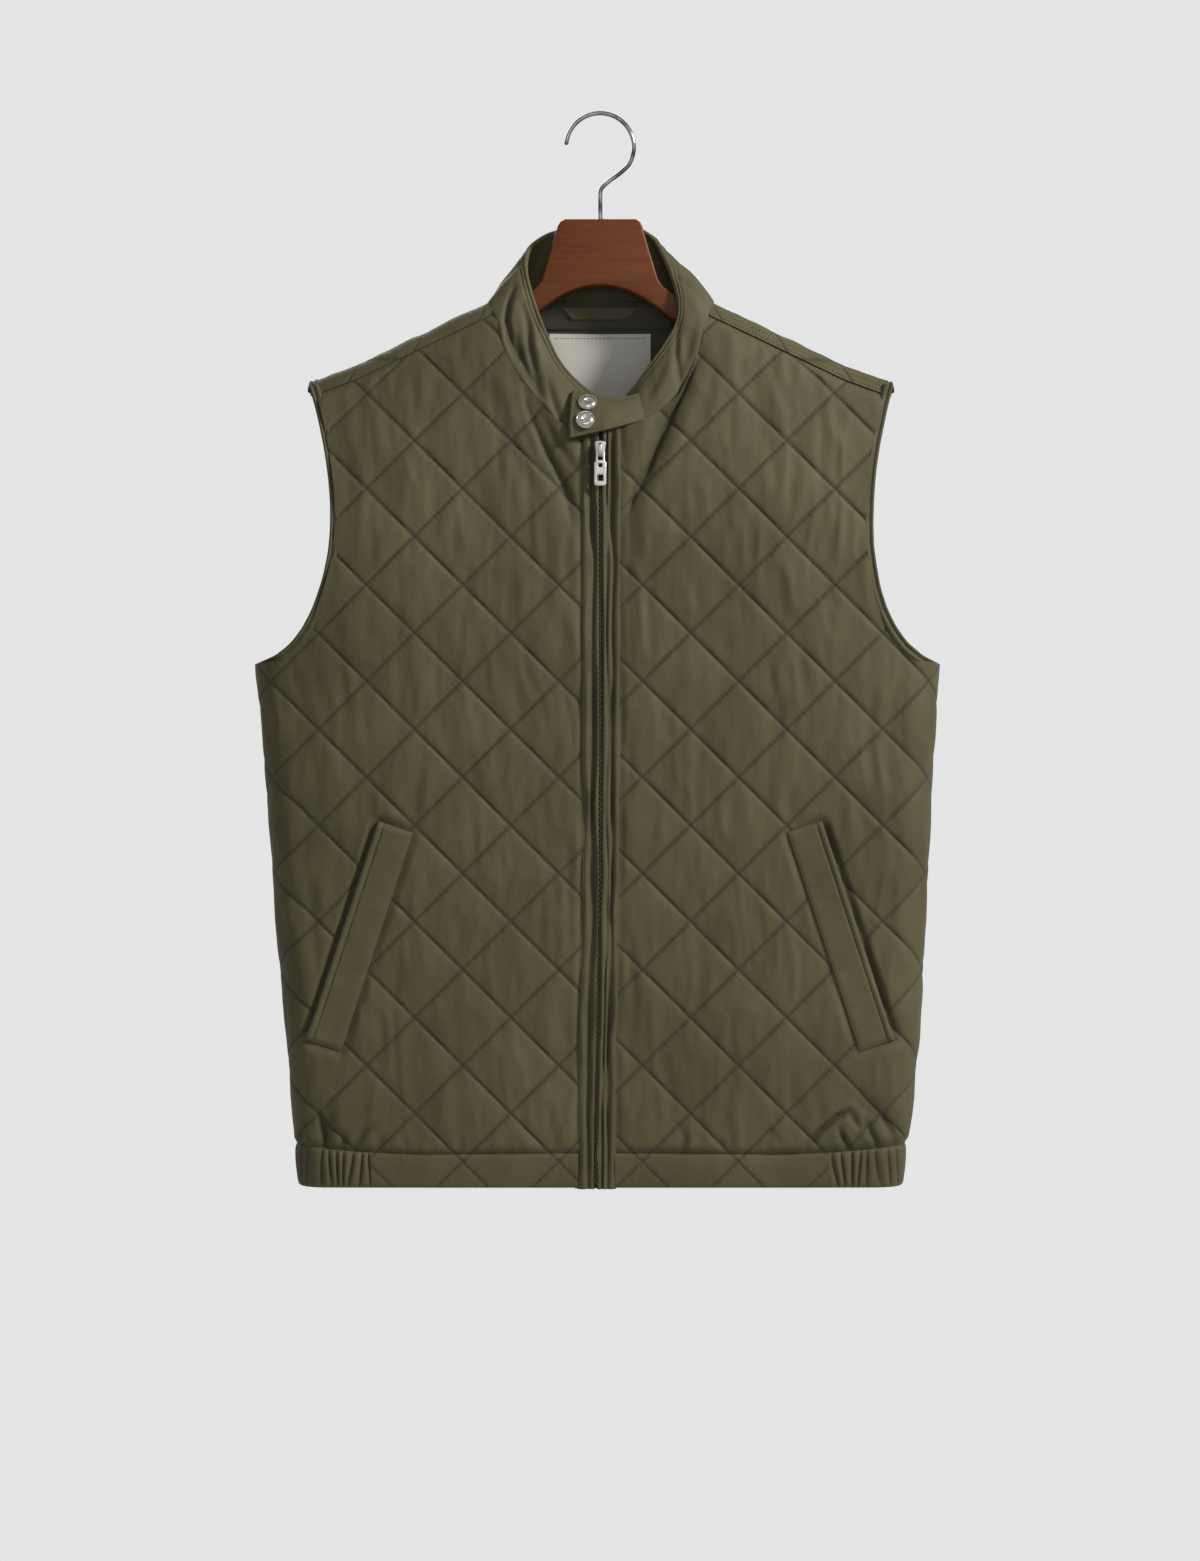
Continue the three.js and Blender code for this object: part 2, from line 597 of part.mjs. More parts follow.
function backPanel() {
  const half = 16;
  const geometry = wall({
    columns: 2 * half,
    rows: ROWS,
    innerStep: 2,
    outer: (i, j) => {
      const across = QUILT_STEP * (i - half);
      const side = across < 0 ? RIGHT : LEFT;
      const raised = puff(i - half, j + TOP_ROW) * atSeams(side, across, rowZ(j), FAR);
      return clothPoint(BACK, across, rowZ(j), CLOTH.wall + raised);
    },
    inner: (i, j) => clothPoint(BACK, QUILT_STEP * (i - half), rowZ(j), 0),
    fallingSplit: (i, j) => onFallingLine(i - half, j + TOP_ROW),
  });
  const solid = toSolid(geometry)
    .subtract(shoulderCutter(BACK))
    .subtract(halfSpaceCutter(BACK))
    .add(shoulderStrip(RIGHT))
    .add(shoulderStrip(LEFT))
    .subtract(armholeCutter(RIGHT))
    .subtract(armholeCutter(LEFT))
    .subtract(neckCutter(FRONT))
    .subtract(neckCutter(BACK))
    .subtract(hemCutter());
  addMesh('back_panel', toGeometry(solid), COLOURS.shell);
}

// Binding round an armhole: up the front, over the shoulder and down the back to the side seam.
function armholeBinding(side) {
  const key = sideName(side);
  const sections = [];
  const across = [0, 0.5, 1].map((share) => share * BINDING.width);
  const outerLift = [CLOTH.wall + 0.2, CLOTH.wall + 1.1, CLOTH.wall + 0.6];
  const innerLift = [-0.2, -0.9, -0.5];
  const edge = new THREE.CatmullRomCurve3(
    ARMHOLE.slice(0, -1).map((row) => new THREE.Vector3(acrossAt(side * row[key], row.z), 0, row.z)),
  );
  const faceSection = (face, share) => {
    const place = edge.getPoint(share);
    const tangent = edge.getTangent(share);
    return (k, lift) => {
      const inX = side * tangent.z * across[k];
      const inZ = -side * tangent.x * across[k];
      return clothPoint(face, place.x + inX, place.z + inZ, lift);
    };
  };
  const topSection = (angle) => (k, lift) => {
    const out = ARMHOLE[0][key] - across[k];
    return shoulderPoint(side * out, angle, lift);
  };
  // Under the arm the edge runs level from the front, round the side seam, to the back.
  const pit = ARMHOLE[ARMHOLE.length - 1];
  const pitSection = (face, fromSeam) => (k, lift) => {
    const z = pit.z + 0.8 + 0.012 * fromSeam ** 2 - across[k];
    return clothPoint(face, side * (flatHalfWidth(side, pit.z) - fromSeam), z, lift);
  };
  const last = BINDING.stations;
  for (const fromSeam of [0, 8]) sections.push(pitSection(FRONT, fromSeam));
  for (let n = last; n >= 1; n -= 1) sections.push(faceSection(FRONT, n / last));
  const overTop = 6;
  for (let n = 0; n <= overTop; n += 1) {
    sections.push(topSection(mix(shoulderSeamAngle, PI - shoulderSeamAngle, n / overTop)));
  }
  for (let n = 1; n <= last; n += 1) sections.push(faceSection(BACK, n / last));
  sections.push(pitSection(BACK, 8));
  const geometry = wall({
    columns: sections.length,
    rows: 2,
    ring: true,
    outer: (i, j) => sections[i](j, outerLift[j]),
    inner: (i, j) => sections[i](j, innerLift[j]),
  });
  addMesh(`armhole_binding_${key}`, geometry, COLOURS.trim);
}

// Hem band pieces. A place along the band runs from one end, by its distance from the middle,
// and past the side seam it comes back along the other face.
function hemPiece(name, columns, placeAt, liftAt) {
  const bulge = [1.8, 3.9, 3.4, 1.6];
  const inset = [1, -0.2, 0, 0.8];
  const rows = bulge.length - 1;
  const point = (i, j, lift) => {
    const { face, across } = placeAt(i / columns);
    const topZ = hemSeam(innerPoint(face, across, HEM.bottomZ).x) - 2 * CLOTH.seamGap;
    return clothPoint(face, across, mix(topZ, HEM.bottomZ, j / rows), lift);
  };
  const geometry = wall({
    columns,
    rows,
    outer: (i, j) => point(i, j, bulge[j] + liftAt(i / columns) * sin((PI * j) / rows)),
    inner: (i, j) => point(i, j, inset[j]),
  });
  addMesh(name, geometry, COLOURS.shell);
}

function hemBand() {
  const gap = CLOTH.seamGap / 2;
  for (const side of [RIGHT, LEFT]) {
    const key = sideName(side);
    const seam = side === RIGHT ? ZIP.rightSeam : ZIP.leftSeam;
    const start = side * (seam + gap) + ZIP.drift;
    const end = side * (HEM.elasticFrom - gap);
    hemPiece(
      `hem_front_${key}`,
      8,
      (share) => ({ face: FRONT, across: mix(start, end, share) }),
      () => 0.4,
    );
    const wholeWidth = flatHalfWidth(side, HEM.bottomZ);
    const run = 2 * (wholeWidth - HEM.elasticFrom - gap);
    const columns = 3 * HEM.gathers;
    hemPiece(
      `hem_elastic_${key}`,
      columns,
      (share) => {
        const out = HEM.elasticFrom + gap + run * share;
        const onFront = out <= wholeWidth;
        return { face: onFront ? FRONT : BACK, across: side * (onFront ? out : 2 * wholeWidth - out) };
      },
      (share) => HEM.gatherDepth * cos(2 * PI * HEM.gathers * (share + 0.012 * sin(9 * PI * share))),
    );
  }
  hemPiece(
    'hem_back',
    16,
    (share) => ({ face: BACK, across: mix(gap - HEM.elasticFrom, HEM.elasticFrom - gap, share) }),
    () => 0.4,
  );
}

// The folded strips each side of the zip, and the tape behind them
function zipStrip(name, section) {
  const last = section.length - 1;
  const geometry = wall({
    columns: ZIP.stations,
    rows: last,
    outer: (i, j) => {
      const z = mix(ZIP.topZ, ZIP.bottomZ, i / ZIP.stations);
      const sway = j === 0 || j === last ? 0 : 0.5 * sin(i * 1.7 + j);
      return clothPoint(FRONT, section[j].x + zipDrift(z), z, section[j].lift + sway);
    },
    inner: (i, j) => {
      const z = mix(ZIP.topZ, ZIP.bottomZ, i / ZIP.stations);
      return clothPoint(FRONT, section[j].x + zipDrift(z), z, 0);
    },
  });
  addMesh(name, geometry, COLOURS.trim);
}

function zipTape() {
  const rows = 2;
  const point = (i, j, lift) => {
    const z = mix(ZIP.topZ, ZIP.bottomZ, i / ZIP.stations);
    return clothPoint(FRONT, mix(-ZIP.tapeWidth, ZIP.tapeWidth, j / rows) + zipDrift(z), z, lift);
  };
  const geometry = wall({
    columns: ZIP.stations,
    rows,
    outer: (i, j) => point(i, j, -0.7),
    inner: (i, j) => point(i, j, -0.7 - ZIP.tapeWall),
  });
  addMesh('zip_tape', geometry, COLOURS.tape);
}

function pocketWelt(side) {
  const columns = 10;
  const rows = 2;
  const rise = [CLOTH.wall + 0.6, CLOTH.wall + POCKET.proud, CLOTH.wall + POCKET.proud + 1.2];
  const spare = 3;
  const point = (i, j, lift) => {
    const top = pocketCorner(side, 0, j - 1, spare);
    const bottom = pocketCorner(side, 1, j - 1, spare);
    const x = mix(top.x, bottom.x, i / columns);
    const z = mix(top.z, bottom.z, i / columns);
    return clothPoint(FRONT, acrossAt(x, z), z, lift);
  };
  const geometry = wall({
    columns,
    rows,
    outer: (i, j) => point(i, j, rise[j]),
    inner: (i, j) => point(i, j, 0),
  });
  const welt = toSolid(geometry).intersect(pocketPrism(side, 0));
  addMesh(`pocket_welt_${sideName(side)}`, toGeometry(welt), COLOURS.shell);
}

// The collar: a ruled wall from the neck seam to the rim, bowed by its folds
function collarCurves() {
  const seam = COLLAR.map((row) => {
    const depth = row.seamY ?? innerPoint(FRONT, row.seamX, row.seamZ).y;
    return new THREE.Vector3(row.seamX, depth, row.seamZ);
  });
  const rim = COLLAR.map((row) => new THREE.Vector3(row.rimX, row.rimY, row.rimZ));
  return { seam: new THREE.CatmullRomCurve3(seam), rim: new THREE.CatmullRomCurve3(rim) };
}

function collarPoint(curves, share, up, lift) {
  const seam = curves.seam.getPoint(share);
  const rim = curves.rim.getPoint(share);
  const along = curves.seam.getTangent(share).lerp(curves.rim.getTangent(share), up);
  const outward = new THREE.Vector3().crossVectors(rim.clone().sub(seam), along).normalize();
  const row = share * (COLLAR.length - 1);
  const before = COLLAR[floor(row)];
  const after = COLLAR[min(COLLAR.length - 1, floor(row) + 1)];
  const fold = mix(before.fold, after.fold, row - floor(row)) * sin(PI * up);
  return seam.lerp(rim, up).addScaledVector(outward, lift + fold);
}

function collar() {
  const curves = collarCurves();
  const thickness = [COLLAR_WALL - 0.6, COLLAR_WALL, COLLAR_WALL, COLLAR_WALL - 0.4];
  const geometry = wall({
    columns: COLLAR_STATIONS,
    rows: COLLAR_ROWS,
    outer: (i, j) => collarPoint(curves, i / COLLAR_STATIONS, j / COLLAR_ROWS, thickness[j]),
    inner: (i, j) => collarPoint(curves, i / COLLAR_STATIONS, j / COLLAR_ROWS, 0),
  });
  addMesh('collar', geometry, COLOURS.shell);
}

// A point of the tab, lifted off its inner face.
function tabPoint(x, up, lift) {
  const at = (share) => {
    const left = new THREE.Vector2(lookUp(TAB, 'up', 'leftX', share), lookUp(TAB, 'up', 'leftZ', share));
    const right = new THREE.Vector2(lookUp(TAB, 'up', 'rightX', share), lookUp(TAB, 'up', 'rightZ', share));
    const across = (x - right.x) / (left.x - right.x);
    return new THREE.Vector3(x, lookUp(TAB, 'up', 'y', share), mix(right.y, left.y, across));
  };
  const rising = at(min(1, up + 0.05)).sub(at(max(0, up - 0.05)));
  const outward = new THREE.Vector3(1, 0, 0).cross(rising).normalize();
  return { place: at(up).addScaledVector(outward, lift), outward };
}

function collarTab() {
  const columns = 6;
  const rows = 6;
  const point = (i, j, lift) => {
    const up = j / rows;
    const x = mix(lookUp(TAB, 'up', 'rightX', up), lookUp(TAB, 'up', 'leftX', up), i / columns);
    return tabPoint(x, up, lift).place;
  };
  const geometry = wall({
    columns,
    rows,
    outer: (i, j) => point(i, j, TAB_WALL),
    inner: (i, j) => point(i, j, 0),
  });
  addMesh('collar_tab', geometry, COLOURS.shell);
}

function collarButtons() {
  const { radius, rise, rim } = BUTTON;
  const profile = [
    [0, 0],
    [radius - 0.6, 0],
    [radius, 0.6],
    [radius, rim],
    [radius - 1.4, rise - 0.4],
    [radius - 3.4, rise],
    [1.6, rise - 0.2],
    [0, rise - 0.9],
  ];
  for (const { name, x, up } of BUTTONS) {
    const geometry = new THREE.LatheGeometry(profile.map(([r, y]) => new THREE.Vector2(r, y)), 16);
    const { place, outward } = tabPoint(x, up, TAB_WALL + 0.8);
    const mesh = addMesh(name, toGeometry(toSolid(geometry)), COLOURS.metal);
    mesh.quaternion.setFromUnitVectors(new THREE.Vector3(0, 1, 0), outward);
    mesh.position.copy(place);
  }
}

// Flat pieces inside the back of the neck, each made from the back's inner face
function neckPiece(name, { topHalf, bottomHalf, topZ, bottomZ, thickness, behind, finish }) {
  const columns = 6;
  const rows = 2;
  const point = (i, j, lift) => {
    const half = mix(topHalf, bottomHalf, j / rows);
    return clothPoint(BACK, mix(-half, half, i / columns), mix(topZ, bottomZ, j / rows), lift);
  };
  const geometry = wall({
    columns,
    rows,
    outer: (i, j) => point(i, j, -behind),
    inner: (i, j) => point(i, j, -behind - thickness),
  });
  addMesh(name, geometry, finish);
}

function neckPieces() {
  neckPiece('neck_facing', {
    topHalf: FACING.halfWidth,
    bottomHalf: FACING.halfWidth,
    topZ: FACING.topZ,
    bottomZ: FACING.bottomZ,
    thickness: FACING.wall,
    behind: 0.6,
    finish: COLOURS.lining,
  });
  neckPiece('neck_label', {
    topHalf: LABEL.halfWidth,
    bottomHalf: LABEL.halfWidth,
    topZ: LABEL.topZ,
    bottomZ: LABEL.bottomZ,
    thickness: LABEL.wall,
    behind: 0.6,
    finish: COLOURS.label,
  });
  neckPiece('hang_loop', {
    topHalf: LOOP.topHalf,
    bottomHalf: LOOP.bottomHalf,
    topZ: LOOP.topZ,
    bottomZ: LOOP.bottomZ,
    thickness: LOOP.wall,
    behind: 0.6 + FACING.wall + 0.4,
    finish: COLOURS.lining,
  });
}

// Slider and pull. Both are drawn about the hinge, which lies under the bridge.
function sliderFrame() {
  const backY = clothPoint(FRONT, 0, SLIDER.topZ - SLIDER.length / 2, 5.6).y;
  const frontY = backY - SLIDER.thick;
  const hingeY = frontY - 0.3 - PULL.barRadius - 0.7;
  const hingeZ = SLIDER.topZ - SLIDER.length + 3.1;
  return { backY, frontY, hingeY, hingeZ };
}

function zipSlider() {
  const { backY, frontY } = sliderFrame();
  const { x, topZ, length, width, bridgeWidth, bridgeRise } = SLIDER;
  const half = width / 2;
  const bodyOutline = [
    { x: x - half, z: topZ - 2 },
    { x: x - half + 2, z: topZ },
    { x: x + half - 2, z: topZ },
    { x: x + half, z: topZ - 2 },
    { x: x + half - 1, z: topZ - length },
    { x: x - half + 1, z: topZ - length },
  ];
  const bridge = new THREE.Shape();
  const top = topZ - 1.4;
  const bottom = topZ - length + 0.4;
  bridge.moveTo(-frontY - 0.5, top);
  bridge.lineTo(-frontY + bridgeRise - 1.6, top - 0.6);
  bridge.lineTo(-frontY + bridgeRise, top - 2.4);
  bridge.lineTo(-frontY + bridgeRise, bottom + 2);
  bridge.lineTo(-frontY + bridgeRise - 1.4, bottom);
  bridge.lineTo(-frontY - 0.5, bottom);
  const window = new THREE.Path();
  window.moveTo(-frontY + 0.2, top - 2);
  window.lineTo(-frontY + 0.2, bottom + 1.5);
  window.lineTo(-frontY + bridgeRise - 1.6, bottom + 1.5);
  window.lineTo(-frontY + bridgeRise - 1.6, top - 2.6);
  bridge.holes.push(window);
  const arch = new THREE.ExtrudeGeometry(bridge, { depth: bridgeWidth, bevelEnabled: false });
  // The bridge is drawn with its height outward, then turned to stand on the slider's face.
  const turn = new THREE.Matrix4().makeBasis(
    new THREE.Vector3(0, -1, 0),
    new THREE.Vector3(0, 0, 1),
    new THREE.Vector3(-1, 0, 0),
  );
  arch.applyMatrix4(turn);
  arch.translate(x + bridgeWidth / 2, 0, 0);
  const solid = prism(bodyOutline, frontY, backY).add(toSolid(arch));
  addMesh('zip_slider', toGeometry(solid), COLOURS.metal);
}

function zipPull() {
  const { hingeY, hingeZ } = sliderFrame();
  const { width, length, thick, window, barRadius, holeUpper, holeLower } = PULL;
  const half = width / 2;
  const neck = 3.4; // half width of the legs beside the bridge
  const plate = new THREE.Shape();
  plate.moveTo(-neck, barRadius);
  plate.lineTo(neck, barRadius);
  plate.lineTo(neck, -window - 0.6);
  plate.lineTo(half, -window - 2);
  plate.lineTo(half, -length + 1.5);
  plate.lineTo(half - 1.5, -length);
  plate.lineTo(1.5 - half, -length);
  plate.lineTo(-half, -length + 1.5);
  plate.lineTo(-half, -window - 2);
  plate.lineTo(-neck, -window - 0.6);
  const square = (centreZ, size) => {
    const path = new THREE.Path();
    path.moveTo(-size / 2, centreZ + size / 2);
    path.lineTo(-size / 2, centreZ - size / 2);
    path.lineTo(size / 2, centreZ - size / 2);
    path.lineTo(size / 2, centreZ + size / 2);
    return path;
  };
  const legs = new THREE.Path();
  const inner = SLIDER.bridgeWidth / 2 + 0.5;
  legs.moveTo(-inner, -barRadius);
  legs.lineTo(-inner, -window);
  legs.lineTo(inner, -window);
  legs.lineTo(inner, -barRadius);
  plate.holes.push(legs, square(-window - 4, holeUpper), square(-length + 6, holeLower));
  const geometry = new THREE.ExtrudeGeometry(plate, { depth: thick, bevelEnabled: false });
  geometry.rotateX(QUARTER);
  geometry.translate(SLIDER.x, thick / 2, 0);
  const mesh = addMesh('zip_pull', toGeometry(toSolid(geometry)), COLOURS.metal);
  mesh.position.set(0, hingeY, hingeZ);
}

// The hanger: a shaped board at the neck, an arm under each shoulder, and the wire hook
function hangerArm(side) {
  const stations = shoulderStations(70, WOOD.armTip);
  const round = 8;
  const section = (x) => {
    const share = (abs(x) - stations[0]) / (WOOD.armTip - stations[0]);
    const tipShare = clamp01((share - 0.88) / 0.12);
    const shrink = 1 - 0.35 * tipShare ** 2;
    const height = mix(WOOD.armHeightNeck, WOOD.armHeightTip, share) * shrink;
    const points = [];
    for (let n = 0; n <= round; n += 1) {
      const point = shoulderPoint(x, (PI * n) / round, -WOOD.armClear);
      points.push(new THREE.Vector3(x, point.y * shrink, point.z - (1 - shrink) * 4));
    }
    const topZ = insideTop(x) - WOOD.armClear;
    const wide = points[round].y;
    points.push(new THREE.Vector3(x, wide * 0.96, topZ - height * 0.75));
    points.push(new THREE.Vector3(x, wide * 0.55, topZ - height));
    points.push(new THREE.Vector3(x, -wide * 0.55, topZ - height));
    points.push(new THREE.Vector3(x, -wide * 0.96, topZ - height * 0.75));
    return points;
  };
  return toSolid(loft(stations.map((out) => section(side * out))));
}

// A solid through closed sections, with flat ends.
function loft(sections) {
  const size = sections[0].length;
  const points = sections.flat();
  const faces = [];
  for (let i = 0; i < sections.length - 1; i += 1) {
    for (let k = 0; k < size; k += 1) {
      const [a, b] = [i * size + k, i * size + ((k + 1) % size)];
      faces.push(a, b, b + size, a, b + size, a + size);
    }
  }
  const end = (sections.length - 1) * size;
  for (let k = 1; k < size - 1; k += 1) {
    faces.push(0, k + 1, k);
    faces.push(end, end + k, end + k + 1);
  }
  return closedGeometry(points, faces);
}

function hangerBoard() {
  const outline = [];
  for (const point of WOOD_OUTLINE) outline.push(point);
  const { halfSpan, apexZ, springZ, steps } = WOOD_ARCH;
  for (let n = 0; n <= steps; n += 1) {
    const x = mix(halfSpan, -halfSpan, n / steps);
    outline.push({ x, z: apexZ + (springZ - apexZ) * (x / halfSpan) ** 2 });
  }
  for (const point of WOOD_OUTLINE.slice(2).reverse()) outline.push({ x: -point.x, z: point.z });
  return prism(outline, -WOOD.neckThick / 2, WOOD.neckThick / 2);
}

function hanger() {
  const bore = new THREE.CylinderGeometry(HOOK.wire + 0.3, HOOK.wire + 0.3, 2 * WOOD.boreDepth, 16);
  bore.rotateX(QUARTER);
  bore.translate(HOOK.shankX, 0, WOOD_OUTLINE[0].z);
  const solid = hangerBoard().add(hangerArm(RIGHT)).add(hangerArm(LEFT)).subtract(toSolid(bore));
  addMesh('hanger_board', toGeometry(solid), COLOURS.wood);
}

function hangerHook() {
  const centreZ = HOOK.wire - HOOK.radius;
  const points = [];
  const turns = 14;
  for (let n = 0; n <= turns; n += 1) {
    const angle = radians(mix(HOOK.startAngle, HOOK.endAngle, n / turns));
    points.push(new THREE.Vector3(HOOK.radius * cos(angle), 0, centreZ + HOOK.radius * sin(angle)));
  }
  points.push(new THREE.Vector3(15.5, 0, -45.5));
  points.push(new THREE.Vector3(6, 0, -52.5));
  points.push(new THREE.Vector3(HOOK.shankX, 0, HOOK.bendZ));
  points.push(new THREE.Vector3(HOOK.shankX, 0, -70));
  points.push(new THREE.Vector3(HOOK.shankX, 0, WOOD_OUTLINE[0].z - WOOD.boreDepth + 1));
  const circle = new THREE.Shape().absarc(0, 0, HOOK.wire, 0, 2 * PI);
  const geometry = new THREE.ExtrudeGeometry(circle, {
    steps: 34,
    curveSegments: 4,
    extrudePath: new THREE.CatmullRomCurve3(points),
    bevelEnabled: false,
  });
  addMesh('hanger_hook', toGeometry(toSolid(geometry)), COLOURS.wire);
}

for (const side of [RIGHT, LEFT]) {
  frontPanel(side);
  armholeBinding(side);
  pocketWelt(side);
}
backPanel();
hemBand();
zipStrip('zip_strip_right', RIGHT_STRIP);
zipStrip('zip_strip_left', LEFT_STRIP);
zipTape();
collar();
collarTab();
collarButtons();
neckPieces();
zipSlider();
zipPull();
hanger();
hangerHook();

export default group;
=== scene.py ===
import json
import math

import bmesh
import bpy
import numpy as np
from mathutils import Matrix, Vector

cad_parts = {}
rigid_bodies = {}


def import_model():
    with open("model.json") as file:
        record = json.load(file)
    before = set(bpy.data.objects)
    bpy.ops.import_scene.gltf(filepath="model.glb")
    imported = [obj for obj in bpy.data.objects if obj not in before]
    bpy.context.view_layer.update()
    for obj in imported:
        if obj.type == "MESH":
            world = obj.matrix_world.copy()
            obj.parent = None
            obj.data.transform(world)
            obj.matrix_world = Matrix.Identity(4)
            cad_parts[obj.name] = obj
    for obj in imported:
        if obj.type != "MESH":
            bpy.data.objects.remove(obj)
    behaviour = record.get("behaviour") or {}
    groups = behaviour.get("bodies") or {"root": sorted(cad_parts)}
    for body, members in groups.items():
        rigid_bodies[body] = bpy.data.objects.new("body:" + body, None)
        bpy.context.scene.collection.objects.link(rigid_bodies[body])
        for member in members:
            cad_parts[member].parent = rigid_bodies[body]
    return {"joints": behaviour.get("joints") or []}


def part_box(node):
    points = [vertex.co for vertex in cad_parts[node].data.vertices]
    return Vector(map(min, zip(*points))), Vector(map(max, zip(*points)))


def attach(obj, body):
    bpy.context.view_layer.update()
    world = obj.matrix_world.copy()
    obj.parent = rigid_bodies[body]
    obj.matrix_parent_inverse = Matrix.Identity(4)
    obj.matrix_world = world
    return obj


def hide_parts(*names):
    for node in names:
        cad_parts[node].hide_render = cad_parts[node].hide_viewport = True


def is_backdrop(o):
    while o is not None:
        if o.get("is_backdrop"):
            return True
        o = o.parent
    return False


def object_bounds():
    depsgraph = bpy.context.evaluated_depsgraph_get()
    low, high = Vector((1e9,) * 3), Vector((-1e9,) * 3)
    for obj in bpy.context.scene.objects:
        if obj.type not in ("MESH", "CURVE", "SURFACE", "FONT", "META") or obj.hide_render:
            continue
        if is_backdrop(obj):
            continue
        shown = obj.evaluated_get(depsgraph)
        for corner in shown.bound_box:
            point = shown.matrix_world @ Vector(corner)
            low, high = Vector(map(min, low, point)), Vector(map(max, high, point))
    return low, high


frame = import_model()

# Quilted vest on a wooden hanger. The front faces -Y, +X is the wearer's left.
# Lengths are millimetres in this file, and meshOf turns them into metres.
mm = 0.001
front, back = -1, 1
right, left = -1, 1
quarter = math.pi / 2
cadBox = [list(corner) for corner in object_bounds()]
vestBody, pullBody = "vest", "pull_tab"

body = {
    "heights": [-836, -803, -728, -642, -537, -462, -431, -300, -100],
    "right": [237, 240, 245.7, 253.5, 261, 267.5, 271, 272, 272],
    "left": [238, 241.5, 250.4, 254.8, 260, 264.2, 267, 268, 268],
    "depth": [28, 29, 31, 33, 35, 36, 37, 37, 33],
    "wall": 2.6,
    "side": 26,  # roll round the side seam
    "roll": 14.2,  # roll over the hanger's arm
    "reach": 150,  # below the shoulder, over which the body opens
    "sideReach": 110,
    "blend": 6,
    "topOut": [0, 84, 120, 152, 191, 228],
    "topZ": [-110, -145.5, -162.5, -177.8, -196.5, -210],
    "slope": math.cos(math.atan(0.44)),
    "seamDrop": 10,
    "over": 16.0,  # radius of the shell over the shoulder
    "soften": 10,  # rounds the corners of the tables above
}
quilt = {
    "pitch": 74.4,
    "puff": 2.55,
    "frontFirst": 32.3,
    "crossingZ": -220.7,
    "risingShare": 0.85,  # the lines that rise to the right pull in less
    "frontCells": 42,  # mesh steps in a pitch
    "backCells": 28,
}
hem = {
    "bottomZ": -836.5,
    "elasticFrom": 177,
    "lap": 0.25,  # the bands' ends lap, so that no slit shows
    "panelEnd": -807,  # the panels run down inside the band
    "under": 2.5,
    "gathers": 19,
    "gatherDepth": 4.2,
    "seamOut": [0, 140, 190, 240, 320],
    "seamZ": [-809, -810.5, -808, -803, -803],
}
zipLine = {
    "seam": {right: 13.5, left: 15.5},
    "topZ": -258,
    "bottomZ": -837.5,
    "underTab": 12,  # the strips run up behind the collar's tab
    "driftFrom": -560,  # below here the zip leans to the wearer's right
    "drift": -3.6,
}

# Folds of the front: depth, width, and the path from start to end
formFolds = [
    (5.4, 8.5, [(78, -185), (66, -218), (48, -254), (38, -278), (16, -322)]),
    (3.2, 9, [(-61, -214), (-49, -247), (-33, -282), (-16, -318)]),
    (3, 10, [(236, -800), (214, -780), (196, -768)]),
    (3, 9, [(-215, -806), (-213, -778)]),
]
fineFolds = [
    (1.4, 4, [(60, -203), (52, -232), (36, -262)]),
    (1.6, 6, [(92, -190), (84, -222), (70, -258)]),
    (1.3, 4, [(-40, -262), (-30, -290), (-18, -330)]),
    (1.6, 7, [(-74, -222), (-66, -262), (-48, -306)]),
    (1.2, 5, [(-86, -206), (-80, -236)]),
    (1.2, 4, [(23, -318), (21, -360), (22, -410)]),
    (1.2, 4, [(22, -640), (26, -690), (23, -740)]),
    (0.9, 4, [(20, -470), (24, -505), (22, -540)]),
    (0.8, 4, [(-21, -560), (-25, -600), (-22, -650)]),
    (2.6, 3, [(78, -186), (66, -218), (48, -254), (38, -278), (18, -318)]),
    (1.9, 3, [(-58, -230), (-46, -260), (-31, -287), (-17, -310)]),
    (1.4, 3.4, [(-66, -226), (-60, -250), (-48, -276), (-36, -292)]),
    (2.2, 2.6, [(-44, -236), (-34, -256), (-19, -280)]),
    (1.6, 2.2, [(76, -196), (67, -214), (56, -240), (45, -266), (38, -284)]),
    (4.2, 2.4, [(159, -805), (170, -792), (183, -781), (193, -777), (198, -783)]),
    (3.8, 2.2, [(185, -790), (189, -799), (194, -807)]),
    (3.8, 2.2, [(205, -784), (210, -795), (216, -805)]),
    (3.2, 2.2, [(218, -781), (225, -792), (227, -803)]),
    (2.6, 2.2, [(193, -780), (202, -791)]),
    (1.8, 3.2, [(241, -802), (243, -788)]),
    (5, 2.6, [(-213, -806), (-214, -794), (-217, -780)]),
    (2.4, 3, [(-190, -806), (-184, -794), (-176, -789)]),
    (2.4, 3, [(-230, -804), (-232, -790)]),
    (2.2, 2.8, [(-200, -806), (-198, -796)]),
    (1.8, 2.8, [(-172, -806), (-167, -796)]),
    (1.1, 3, [(140, -806), (136, -797), (128, -790)]),
    (1, 3, [(96, -807), (92, -799)]),
    (1.2, 3, [(62, -807), (66, -797), (60, -788)]),
    (0.9, 3, [(-60, -807), (-64, -798)]),
    (0.9, 3, [(-110, -807), (-106, -799)]),
    (1.1, 3, [(-150, -807), (-153, -796)]),
]

pocket = {"topX": 158, "topZ": -556.5, "bottomX": 214, "bottomZ": -726, "width": 28}


def ease(value):
    return 1 - (1 - np.clip(value, 0, 1)) ** 2


def smooth(value):
    value = np.clip(value, 0, 1)
    return value * value * (3 - 2 * value)


